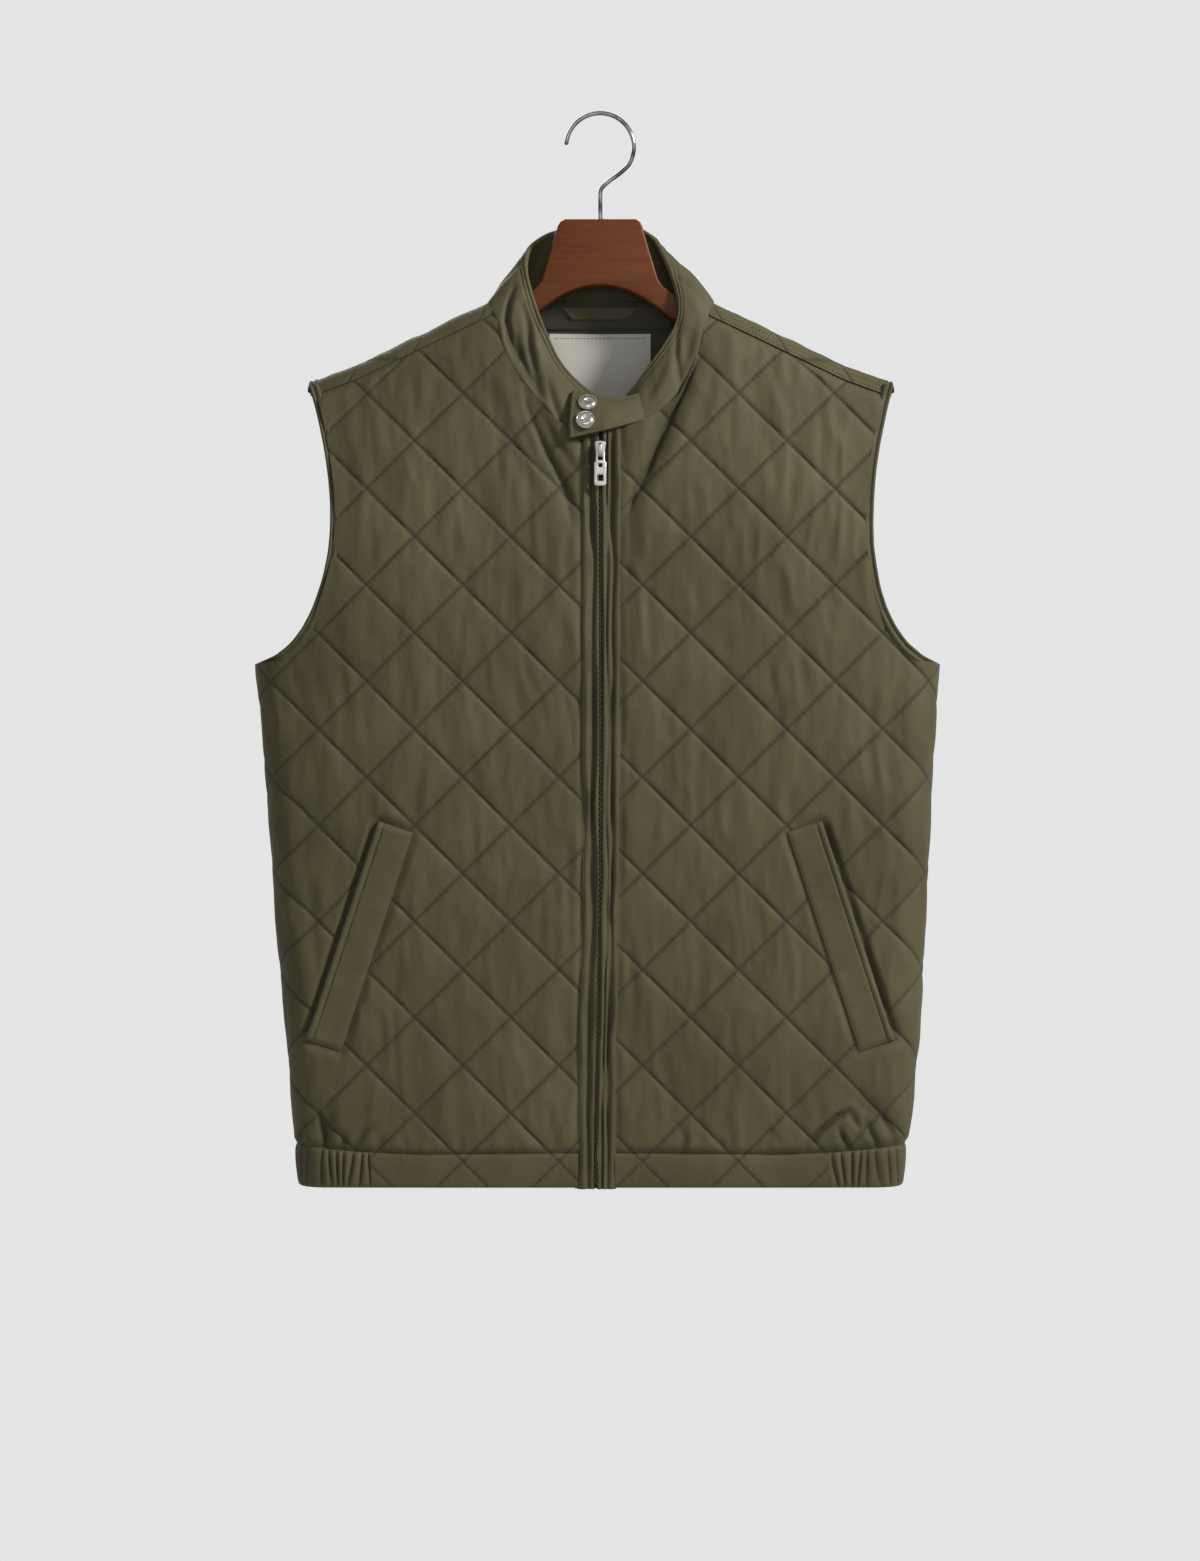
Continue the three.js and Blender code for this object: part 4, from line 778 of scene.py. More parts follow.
def quiltedPanel(name, place, outline, firstU, cells, liftAt, shadeAt, node):
    outline = np.asarray(outline, float)
    step = quilt["pitch"] / cells
    low, high = outline.min(0), outline.max(0)
    columns = np.arange(math.floor((low[0] - firstU) / step), math.ceil((high[0] - firstU) / step) + 1)
    rows = np.arange(math.floor((low[1] - quilt["crossingZ"]) / step),
                     math.ceil((high[1] - quilt["crossingZ"]) / step) + 1)
    i, j = np.meshgrid(columns, rows, indexing="ij")
    u, v = i * step + firstU, j * step + quilt["crossingZ"]
    kept = insideOutline(u, v, outline)
    cell = kept[:-1, :-1] & kept[1:, :-1] & kept[1:, 1:] & kept[:-1, 1:]
    ids = np.arange(u.size).reshape(u.shape)
    quads = np.stack([ids[:-1, :-1], ids[1:, :-1], ids[1:, 1:], ids[:-1, 1:]], -1)[cell]
    lattice = np.stack([i[:-1, :-1], j[:-1, :-1]], -1)[cell]
    used, quads = np.unique(quads, return_inverse=True)
    quads = quads.reshape(-1, 4)
    flat = np.stack([u.ravel()[used], v.ravel()[used]], -1)
    edges = np.stack([quads, np.roll(quads, -1, axis=1)], -1).reshape(-1, 2)
    keys = np.sort(edges, axis=1)
    keys = keys[:, 0].astype(np.int64) * len(flat) + keys[:, 1]
    _, where, count = np.unique(keys, return_index=True, return_counts=True)
    rim = edges[where[count == 1]]
    border = np.unique(rim)
    spots, gap = nearestOn(flat[border], outline)
    near = gap < step * 1.5
    flat[border[near]] = spots[near]
    outer = place(flat[:, 0], flat[:, 1], liftAt(flat[:, 0], flat[:, 1]))
    inner = place(flat[:, 0], flat[:, 1], np.full(len(flat), 0.0))
    size = len(flat)
    # A quad with a stitch line from corner to corner is split along it
    falls = (lattice.sum(1) + 1) % cells == 0
    climbs = (lattice[:, 0] - lattice[:, 1]) % cells == 0
    faces = quads[~falls & ~climbs].tolist()
    faces += quads[climbs][:, [0, 1, 2]].tolist() + quads[climbs][:, [0, 2, 3]].tolist()
    both = falls & ~climbs
    faces += quads[both][:, [0, 1, 3]].tolist() + quads[both][:, [1, 2, 3]].tolist()
    outerCount = len(faces)
    faces += (quads[:, ::-1] + size).tolist()
    faces += [(b, a, a + size, b + size) for a, b in rim.tolist()]
    finish = [0] * outerCount + [1] * (len(faces) - outerCount)
    uv = np.stack([flat[:, 0] - firstU, flat[:, 1] - quilt["crossingZ"]], -1)
    crease = np.concatenate([shadeAt(flat[:, 0], flat[:, 1]), np.zeros(size)])
    piece = meshOf(name, np.vstack([outer, inner]), faces, uv=np.vstack([uv, uv]), sharp=60,
                   finishes=[shellQuilt, liningCloth], faceFinish=finish, crease=crease)
    settle(piece, [node])
    print(name, len(faces), "faces")


def wrinkles(u, v, seed):
    # Soft upright ripples that the stitch lines break up
    lean = u + 7 * softNoise(u / 50, v / 60, seed + 3)
    ripple = softNoise(lean / 9.5, v / 42, seed) * 0.8 + softNoise(lean / 5.4, v / 20, seed + 1) * 0.45
    sharp = 0.42 - np.abs(softNoise(lean / 13, v / 34, seed + 4))
    swell = softNoise(u / 60, v / 90, seed + 2) * 1.1
    return ripple + sharp * 1.3, swell


def underBand(fromHem):
    # Below the seam the panels thin out inside the hem band
    return 3.0 * smooth(-fromHem / 1.2)


def pocketShare(x, z):
    # Distance out of the welt's outline, signed distance from its opening edge, and share along it
    runX, runZ = pocket["bottomX"] - pocket["topX"], pocket["bottomZ"] - pocket["topZ"]
    length = math.hypot(runX, runZ)
    dx, dz = np.abs(x) - pocket["topX"], z - pocket["topZ"]
    along = (dx * runX + dz * runZ) / length
    across = (dx * -runZ + dz * runX) / length
    outLong = np.maximum(np.maximum(-along, along - length), 0)
    outWide = np.maximum(np.abs(across) - pocket["width"] / 2, 0)
    return np.hypot(outLong, outWide), across - pocket["width"] / 2, along / length


def frontLift(side, firstU, u, v):
    ripple, swell = wrinkles(u, v, 11 if side == right else 23)
    x = innerPoint(front, u, v)[..., 0]
    puffed = quiltHeight(u - firstU, v - quilt["crossingZ"])
    share = puffed / quilt["puff"]
    fromSide = flatHalf(u < 0, v) - np.abs(u)
    fromHem = v - hemSeam(x)
    fromZip = np.abs(u - zipDrift(v) - side * zipLine["seam"][side])
    shoulderLine = insideTop(x) - body["seamDrop"]
    fromShoulder = shoulderLine - v
    near = np.minimum(np.minimum(fromHem, fromShoulder), np.minimum(fromZip * 1.2, fromSide * 1.6))
    near = smooth(near / 7) * (0.55 + 0.45 * smooth(fromSide / 34))
    lift = body["wall"] + (puffed + ripple * (0.35 + 0.65 * share) + swell) * near
    folds = [fold for fold in fineFolds if fold[2][0][0] * side > 0]
    lift -= foldDepth(x, v, folds, 0.1) * smooth(fromZip / 6)
    tuck = 1 - smooth(np.minimum(fromHem, fromShoulder) / 4)
    lift -= 1.2 * tuck
    out, opening, along = pocketShare(x, v)
    flatten = 1 - smooth(out / 7)
    lift = lift * (1 - flatten) + (body["wall"] - 0.2) * flatten
    beside = np.exp(-(((opening - 2.2) / 2.4) ** 2)) * smooth((0.5 - np.abs(along - 0.5)) / 0.05)
    lift -= 3.0 * beside
    return np.maximum(lift - underBand(fromHem), 0.7)


def frontShade(u, v):
    # How far in a fold, the pocket's opening or an edge lies, which keeps the light out; it is painted as
    # shade in the cloth's colour
    x = innerPoint(front, u, v)[..., 0]
    folds = foldDepth(x, v, fineFolds, 0.0) / 2.6 + foldDepth(x, v, formFolds, 0.0) / 14
    out, opening, along = pocketShare(x, v)
    beside = np.exp(-(((opening - 1.6) / 2.2) ** 2)) * smooth((0.5 - np.abs(along - 0.5)) / 0.05)
    edges = 0.5 * np.exp(-(out / 2.2) ** 2) + 0.6 * np.exp(-((v - hemSeam(x)) / 2.0) ** 2)
    return np.clip(folds, 0, 1) + beside + edges


def frontOutline(side):
    zipZ = np.linspace(-809, -262, 60)
    zipEdge = np.stack([side * (zipLine["seam"][side] - 2.0) + zipDrift(zipZ), zipZ], -1)
    neck = collarSeamFront(side)
    neck = np.array([(x - side, z + 1.0) for x, z in neck if z > -250 and abs(x) > 14])
    neck = neck[np.argsort(neck[:, 1])]
    shoulder = [(side * x, float(insideTop(x)) - body["seamDrop"] + 1.5) for x in np.linspace(77, 226, 42)]
    hole = armholeLine(side, armhole["binding"] - armhole["tuck"] + 1.0)[::-1]
    hole = hole[hole[:, 1] < shoulder[-1][1]]
    sideZ = np.linspace(-430, hem["panelEnd"], 70)
    sideEdge = np.stack([side * flatHalf(side == right, sideZ), sideZ], -1)
    hemEdge = [(side * x, float(hemSeam(x))) for x in np.linspace(238, 12, 60)]
    hemEdge = [(u + (float(zipDrift(v)) if abs(u) < 20 else 0), v - hem["under"]) for u, v in hemEdge]
    return np.vstack([zipEdge, neck, shoulder, hole, sideEdge, hemEdge])


def makeFronts():
    for side in (right, left):
        firstU = side * quilt["frontFirst"]
        quiltedPanel(
            f"front_{sideKey(side)}", lambda u, v, lift: clothPoint(front, u, v, lift), frontOutline(side),
            firstU, quilt["frontCells"], lambda u, v: frontLift(side, firstU, u, v), frontShade,
            f"front_panel_{sideKey(side)}")


def backLift(u, v):
    ripple, swell = wrinkles(u, v, 37)
    puffed = quiltHeight(u, v - quilt["crossingZ"])
    share = puffed / quilt["puff"]
    fromSide = flatHalf(u < 0, v) - np.abs(u)
    fromHem = v - hemSeam(u)
    fromFront = insideTop(u) - body["seamDrop"] + overShoulder - v
    fromNeck = np.hypot(np.maximum(np.abs(u) - 60, 0) * 0.8, v + 147)
    near = smooth(np.minimum(np.minimum(fromHem, fromFront), np.minimum(fromSide * 1.6, fromNeck)) / 7)
    near = near * (0.55 + 0.45 * smooth(fromSide / 34))
    onTop = smooth((v - insideTop(u) + body["seamDrop"]) / 10)
    lift = body["wall"] + (puffed * (1 - 0.72 * onTop) + ripple * (0.35 + 0.65 * share) * (1 - 0.5 * onTop)
                           + swell * (1 - onTop)) * near
    lift -= 1.5 * (1 - smooth(fromHem / 4))
    gathers = np.exp(-(np.maximum(fromHem, 0) / 14) ** 2) * smooth((np.abs(u) - 150) / 30)
    lift += gathers * 0.9 * np.sin(u / 1.9 + 2 * softNoise(u / 20, v / 20, 5))
    return np.maximum(lift - underBand(fromHem), 0.7)


# The back's edge at the neck: distance out and how far up the roll, then places under the collar
backNeck = {
    "onRoll": [(82, 19.3), (79, 12), (74, 6)],
    "underCollar": [(58, -145.5), (40, -144.8), (20, -144.6)],
}


def makeBack():
    outline = [(x, float(hemSeam(x)) - hem["under"]) for x in np.linspace(-236, 236, 120)]
    for side in (left, right):
        sideZ = np.linspace(hem["panelEnd"], -430, 70)
        half = [(side * float(flatHalf(side == right, z)), z) for z in sideZ]
        half += armholeLine(side, armhole["binding"] - armhole["tuck"] + 1.0).tolist()
        tipX = half[-1][0]
        tipTop = float(insideTop(tipX)) - body["seamDrop"]
        half = [spot for spot in half if spot[1] < tipTop]
        half += [(tipX, tipTop + share * overShoulder) for share in np.linspace(0, 1, 8)]
        for x in np.linspace(abs(tipX) - 4, 83, 42):
            half.append((side * x, float(insideTop(x)) - body["seamDrop"] + overShoulder))
        for x, over in backNeck["onRoll"]:
            half.append((side * x, float(insideTop(x)) - body["seamDrop"] + over))
        half += [(side * x, z) for x, z in backNeck["underCollar"]]
        outline += half if side == left else half[::-1]
    # The last function gives painted shade along the hem seam
    quiltedPanel("back", backPoint, outline, 0.0, quilt["backCells"], backLift,
                 lambda u, v: 0.6 * np.exp(-(((v - hemSeam(u)) / 2.0) ** 2)), "back_panel")


makeFronts()
makeBack()

# Armhole bindings: a folded strip, with a groove beside its outer edge
bindingOutline = [(7.4, 2.2), (6.6, 3.6), (5.4, 4.3), (4.0, 4.1), (3.0, 3.3), (2.5, 3.2), (1.8, 4.0),
                  (0.7, 4.4), (-0.3, 3.7), (-0.7, 2.2), (-0.6, 0.4), (0.3, -0.8), (2.0, -1.2), (5.0, -1.2),
                  (6.8, -0.7), (7.5, 0.5)]


def makeBindings():
    for side in (right, left):
        key = sideKey(side)
        edge = armholeLine(side, 0.0, 100)
        way = np.gradient(edge, axis=0)
        way /= np.linalg.norm(way, axis=1, keepdims=True)
        inward = np.stack([-side * way[:, 1], side * way[:, 0]], -1)
        tipOut = armhole[key][-1]
        pitZ = armhole["z"][0]
        turns = np.linspace(shoulderSeamAngle, math.pi - shoulderSeamAngle, 22)[1:-1]
        seamAcross = float(flatHalf(side == right, pitZ))
        sections = []
        for distance, lift in bindingOutline:
            pits = []
            for face, fromSeam in ((front, 0.0), (front, 5.0), (front, 10.0), (back, 10.0), (back, 5.0)):
                z = pitZ + 0.8 + 0.012 * fromSeam**2 - distance
                pits.append(clothPoint(face, side * (seamAcross - fromSeam), z, lift))
            spot = edge + inward * distance
            upFront = clothPoint(front, spot[:, 0], spot[:, 1], lift)
            downBack = clothPoint(back, spot[:, 0], spot[:, 1], lift)[::-1]
            over = shoulderPoint(side * (tipOut - distance), turns, lift)
            sections.append(np.vstack([pits[:3], upFront, over, downBack, pits[3:]]))
        sections = np.stack(sections, 1)
        for _ in range(3):
            beside = np.roll(sections, 1, axis=0) + np.roll(sections, -1, axis=0)
            sections = 0.5 * sections + 0.25 * beside
        count = len(sections)
        pull = softNoise(np.arange(count) / 3.0, 0.0, 71 + side) * 0.22
        outward = sections[:, 7] - sections[:, 12]
        outward /= np.linalg.norm(outward, axis=1, keepdims=True)
        sections = sections + (outward * pull[:, None])[:, None]
        piece = tube(f"binding_{key}", sections, ringAlong=True, uv=runUv(sections), finishes=[trimCloth])
        settle(piece, [f"armhole_binding_{key}"])
        groove = np.vstack([sections[:, 5], sections[:1, 5]])
        sewAlong(groove + np.vstack([outward, outward[:1]]) * 0.15, np.vstack([outward, outward[:1]]))
    print("bindings done")


makeBindings()


def sewShoulders():
    for side in (right, left):
        out = np.linspace(88, 222, 80)
        for above in (2.2, 6.2):
            start = insideTop(out) - body["seamDrop"]
            z = start + overShoulder - above
            lift = backLift(side * out, z)
            points = backPoint(side * out, z, lift)
            sewAlong(points, points - backPoint(side * out, z, lift - 2.0))


sewShoulders()


# Hem band: plain, quilted pieces in front and behind, and gathered elastic round the sides
hemOutline = [(0.0, 0.9), (0.01, 2.0), (0.05, 3.0), (0.11, 3.5), (0.2, 3.9), (0.3, 4.1), (0.4, 4.2),
              (0.5, 4.2), (0.6, 4.1), (0.7, 3.9), (0.8, 3.7), (0.88, 3.4), (0.94, 3.0), (0.98, 2.3),
              (1.0, 1.3), (0.985, 0.4), (0.9, 0.1), (0.6, -0.1), (0.3, -0.1), (0.08, 0.2)]


def hemPiece(name, node, places, gather, quiltFrom):
    # places is face and distance across for each section, gather the lift that a level adds to each
    faces, across = places
    sections, paintedShades = [], []
    for down, lift in hemOutline:
        rows = []
        for face in (front, back):
            x = innerPoint(face, across, hem["bottomZ"])[..., 0]
            topZ = hemSeam(x) - 0.4
            z = topZ + (hem["bottomZ"] - topZ) * down
            outside = lift > 1.2
            bell = math.sin(math.pi * min(max(down, 0.0), 1.0)) ** 0.4 if outside else 0.0
            more = gather(down) * bell
            if outside and quiltFrom is not None:
                raised = quiltHeight(across - quiltFrom, z - quilt["crossingZ"]) / quilt["puff"]
                more = more + (raised - 0.75) * 1.3 * bell
            rows.append(clothPoint(face, across, z, lift + more))
        # Painted shade in the valleys of the gathers
        paintedShades.append(np.clip(-gather(down) * bell / 2.6, 0, 1))
        sections.append(np.where((faces == front)[:, None], rows[0], rows[1]))
    sections = np.stack(sections, 1)
    uv = np.zeros(sections.shape[:2] + (2,))
    uv[..., 0] = across[:, None] - (quiltFrom or 0.0)
    uv[..., 1] = sections[..., 2] - quilt["crossingZ"]
    finish = shellQuilt if quiltFrom is not None else shellPlain
    piece = tube(name, sections, uv=uv, finishes=[finish], sharp=70, crease=np.stack(paintedShades, 1))
    settle(piece, [node])
    return sections


def gatherHeight(run, down, seed):
    # Pinched folds of uneven width that lean and meet here and there
    phase = run * hem["gathers"] + 1.2 * softNoise(run * 8, down * 0.3, seed)
    phase = phase + 0.45 * softNoise(run * 17, down * 0.8, seed + 1)
    crest = np.abs(np.sin(np.pi * phase)) ** 0.55
    depth = 0.72 + 0.28 * softNoise(run * 14, down * 0.5, seed + 2)
    return hem["gatherDepth"] * (crest * depth - 0.74)


def makeHem():
    lap = hem["lap"]
    for side in (right, left):
        key = sideKey(side)
        start = side * (zipLine["seam"][side] - lap) + zipLine["drift"]
        across = np.linspace(start, side * (hem["elasticFrom"] + lap), 74)
        faces = np.full(across.shape, front)
        firstU = side * quilt["frontFirst"]
        plain = softNoise(across / 13, 0.0, 81) * 0.35
        sections = hemPiece(f"hem_front_band_{key}", f"hem_front_{key}", (faces, across), lambda down: plain,
                            firstU)
        outward = sections[:, 6] - sections[:, 18]
        sewAlong(sections[:, 3], outward)
        whole = float(flatHalf(side == right, hem["bottomZ"]))
        run = np.linspace(0, 1, 260)
        out = hem["elasticFrom"] - lap + 2 * (whole - hem["elasticFrom"] + lap) * run
        faces = np.where(out <= whole, front, back)
        across = side * np.where(out <= whole, out, 2 * whole - out)
        hemPiece(f"hem_gathered_{key}", f"hem_elastic_{key}", (faces, across),
                 lambda down: gatherHeight(run, down, 91 + side), None)
    across = np.linspace(-lap - hem["elasticFrom"], hem["elasticFrom"] + lap, 150)
    faces = np.full(across.shape, back)
    plain = softNoise(across / 13, 0.0, 83) * 0.35
    sections = hemPiece("hem_back_band", "hem_back", (faces, across), lambda down: plain, 0.0)
    sewAlong(sections[:, 3], sections[:, 6] - sections[:, 18])
    print("hem done")


makeHem()


# Zip: folded strips, tape, teeth
stripOutlines = {
    "right": [(-14.2, 1.0), (-13.4, 2.4), (-12.4, 3.9), (-10.6, 4.9), (-9.0, 4.6), (-7.8, 3.6), (-6.6, 2.0),
              (-5.4, 1.5), (-4.4, 2.4), (-3.4, 4.2), (-2.2, 4.9), (-1.2, 4.2), (-0.8, 2.6), (-0.8, 0.6),
              (-1.4, 0.1), (-7, 0.1), (-13.4, 0.1)],
    "left": [(16.2, 1.0), (15.4, 2.6), (14.4, 4.4), (12.8, 5.0), (11.2, 4.2), (10.0, 2.6), (9.2, 2.4),
             (8.2, 3.6), (6.8, 4.3), (5.6, 3.6), (5.0, 3.4), (4.2, 4.6), (3.0, 5.2), (1.9, 4.4), (1.3, 2.6),
             (1.3, 0.6), (2.0, 0.1), (8, 0.1), (15.4, 0.1)],
}
teeth = {
    "topZ": -272,
    "x": 0.3,
    "pitch": 2.1,
    "nudge": 0.35,  # every other tooth stands on the other side
    "height": 1.3,
    "half": 1.0,
    "thick": 1.1,
    "outline": [(-1.0, 0.0), (1.0, 0.0), (1.0, 0.8), (0.55, 1.25), (-0.55, 1.25), (-1.0, 0.8)],
}


def makeZip():
    stations = np.linspace(zipLine["topZ"] + zipLine["underTab"], zipLine["bottomZ"] + 0.3, 260)
    for key, outline in stripOutlines.items():
        last = len(outline) - 1
        sections, paintedShades = [], []
        for n, (x, lift) in enumerate(outline):
            free = 1.0 if 0 < n < last - 2 and lift > 1.2 else 0.0
            sway = softNoise(stations / 27, n * 0.5, 101) * 1.3 * free
            shift = softNoise(stations / 45, n * 0.3 + 9, 103) * free
            if abs(x) < 1.5:
                shift = shift * 0.3
            sections.append(clothPoint(front, x + shift + zipDrift(stations), stations, lift + sway))
            # Painted shade where the strip's folds run low
            paintedShades.append(np.clip((3.4 - lift - sway) / 3.2, 0, 1))
        sections = np.stack(sections, 1)
        piece = tube(f"zip_fold_{key}", sections, uv=runUv(sections), finishes=[trimCloth], sharp=70,
                     crease=np.stack(paintedShades, 1))
        settle(piece, [f"zip_strip_{key}"])
        outward = outwardOf(front, zipDrift(stations), stations)
        sewAlong(sections[:, 2] + outward * 0.1, outward)
    tapeX = [-16.0, -8.0, -1.0, 1.6, 8.0, 16.0]
    tapeOutline = [(x, -0.8) for x in tapeX] + [(x, -1.8) for x in tapeX[::-1]]
    sections = np.stack([clothPoint(front, x + zipDrift(stations), stations, lift)
                         for x, lift in tapeOutline], 1)
    tape = tube("zip_tape_woven", sections, uv=runUv(sections), finishes=[tapeCloth])
    settle(tape, ["zip_tape"])
    z = np.arange(teeth["topZ"], zipLine["bottomZ"] + 3, -teeth["pitch"])
    nudge = np.where(np.arange(len(z)) % 2, teeth["nudge"], -teeth["nudge"])
    centre = clothPoint(front, teeth["x"] + nudge + zipDrift(z), z, 0.0)
    outward = outwardOf(front, teeth["x"] + zipDrift(z), z)
    points = []
    for down, shrink in ((-0.5, 1.0), (0.5, 0.86)):
        for x, high in teeth["outline"]:
            offset = np.array([x * teeth["half"] * shrink, 0, down * teeth["height"]])
            points.append(centre + offset + outward * (high * teeth["thick"] * shrink - 0.7))
    around = len(teeth["outline"])
    faces = copiesOf(tubeFaces(2, around), len(z), 2 * around)
    points = np.stack(points, 1).reshape(-1, 3)
    settle(meshOf("zip_teeth", points, faces, finishes=[toothMetal], sharp=30))
    print("zip done,", len(z), "teeth")


makeZip()


# Welt pockets
def makeWelts():
    runX, runZ = pocket["bottomX"] - pocket["topX"], pocket["bottomZ"] - pocket["topZ"]
    length = math.hypot(runX, runZ)
    wayX, wayZ = runX / length, runZ / length
    half = pocket["width"] / 2
    # Across the welt: place from the middle, towards the opening, and lift over the panel's inner face
    outline = [(-half - 0.2, 2.2), (-half + 0.2, 3.2), (-half + 1.2, 4.2), (-half + 3.4, 4.6),
               (-half + 7, 4.7), (-3, 4.9), (3, 5.2), (half - 6.8, 5.6), (half - 5.6, 5.7), (half - 5.0, 5.1),
               (half - 4.4, 5.8), (half - 2.6, 6.6), (half - 1.2, 6.6), (half - 0.2, 5.9), (half + 0.2, 4.9),
               (half + 0.1, 3.6), (half - 0.6, 2.4), (0, 2.2), (-half + 1, 2.0)]
    around = len(outline)
    openingRows = (14, 15, 16)  # the edge that faces into the pocket, painted near black as the shade of the opening
    run = np.linspace(0, 1, 120)
    paintedShadeFaces = [int(row in openingRows) for _ in run[1:] for row in range(around)] + [0, 0]
    for side in (right, left):
        key = sideKey(side)
        sections = []
        for n, (place, lift) in enumerate(outline):
            x = side * (pocket["topX"] + wayX * length * run - wayZ * place)
            z = pocket["topZ"] + wayZ * length * run + wayX * place
            ends = smooth(np.minimum(run, 1 - run) / 0.02)
            raised = 2.2 + (lift - 2.2) * (0.45 + 0.55 * ends)
            soft = 0.0
            if 3 < n < 13:
                soft = softNoise(run * 7 + place / 22, place / 9, 111 + side) * 0.6
                soft = soft + softNoise(run * 19, place / 5, 115 + side) * 0.25
            sections.append(clothPoint(front, acrossAt(x, z), z, raised + soft * ends))
        sections = np.stack(sections, 1)
        piece = tube(f"welt_{key}", sections, uv=runUv(sections), finishes=[shellPlain, openingShade],
                     sharp=60, faceFinish=paintedShadeFaces)
        settle(piece, [f"pocket_welt_{key}"])
        outward = sections[:, 9] - sections[:, 17]
        sewAlong(sections[:, 9] + 0.1, outward)
        sewAlong(sections[:, 2], outward)
        for end in (1, -2):
            bar = sections[end, 2:13]
            sewAlong(bar, np.repeat(outward[end][None], len(bar), axis=0))
    print("welts done")


makeWelts()


# Collar: from its right end at the zip, round the back of the neck, to its left end
collar = {
    "stations": 240,
    "lap": 0.08,  # over the back, as a share of its height
    "lapFrom": 0.25,
    "lapTo": 0.77,
}
# Its outline: height as a share, and how far it stands out of its inner face
collarRows = [(0.0, 1.2), (0.015, 2.3), (0.04, 3.0), (0.07, 3.3)]
collarRows += [(up, 3.4) for up in np.linspace(0.1, 0.78, 27)]
collarRows += [(0.805, 3.25), (0.825, 2.9), (0.84, 2.8), (0.855, 3.1), (0.875, 3.5), (0.895, 3.3),
               (0.912, 2.7), (0.925, 2.8), (0.945, 3.6), (0.965, 3.9), (0.985, 3.5), (1.0, 2.7),
               (1.008, 1.6), (1.0, 0.6), (0.985, 0.0), (0.94, -0.3), (0.915, 0.1), (0.85, 0.0)]
collarRows += [(up, 0.0) for up in np.linspace(0.78, 0.12, 12)] + [(0.02, 0.2)]
collarStitchRows = (33, 38, 48)  # two outside, the last one inside
# Creases of the collar's sides as they show from the front: depth, width and path
collarFolds = [
    (2.4, 9, [(-72, -146), (-66, -176), (-56, -204), (-40, -232)]),
    (3.6, 2.6, [(-67, -136), (-71, -148), (-73, -162), (-70, -179), (-63, -193)]),
    (3.2, 3.4, [(-60, -150), (-56, -165), (-54, -185), (-50, -204), (-45, -222)]),
    (2.2, 2.6, [(-66, -176), (-58, -200), (-47, -220)]),
    (1.4, 3.4, [(-52, -146), (-48, -172), (-40, -192)]),
    (2.0, 3, [(-40, -212), (-34, -232), (-26, -249)]),
    (2.2, 2.6, [(58, -132), (60, -160), (59, -190), (63, -216)]),
    (1.6, 4, [(75, -160), (70, -182), (62, -206)]),
    (1.2, 3.5, [(53, -190), (45, -210), (34, -228)]),
]
# Upright creases round its back: share of its run, lean, depth and width
collarCreases = [
    (0.345, 0.0, 1.6, 0.012),
    (0.41, 0.02, 1.1, 0.009),
    (0.46, -0.01, 1.2, 0.012),
    (0.56, 0.01, 1.5, 0.012),
    (0.605, -0.02, 1.1, 0.008),
    (0.655, 0.0, 1.8, 0.011),
    (0.735, -0.01, 1.4, 0.008),
]


def collarCurves(shares):
    seams = [(x, float(innerPoint(front, x, z)[1]) if y is None else y, z) for (x, y, z), _, _ in collarTable]
    rims = [rim for _, rim, _ in collarTable]
    return catmull(seams, shares), catmull(rims, shares)


def collarPoints(shares, up, lift):
    # up and lift are one number or one for each share
    seam, rim = collarCurves(shares)
    nextSeam, nextRim = collarCurves(np.clip(shares + 0.002, 0, 1))
    lastSeam, lastRim = collarCurves(np.clip(shares - 0.002, 0, 1))
    up = np.broadcast_to(np.asarray(up, float), shares.shape)[:, None]
    lift = np.broadcast_to(np.asarray(lift, float), shares.shape)[:, None]
    along = (nextSeam - lastSeam) * (1 - up) + (nextRim - lastRim) * up
    outward = np.cross(rim - seam, along)
    outward /= np.linalg.norm(outward, axis=1, keepdims=True)
    folds = np.array([bow for _, _, bow in collarTable], float)
    place = shares * (len(folds) - 1)
    fold = lookUp(place, np.arange(len(folds)), folds, 0.4)[:, None] * np.sin(np.pi * np.clip(up, 0, 1))
    return seam * (1 - up) + rim * up + outward * (lift + fold), outward


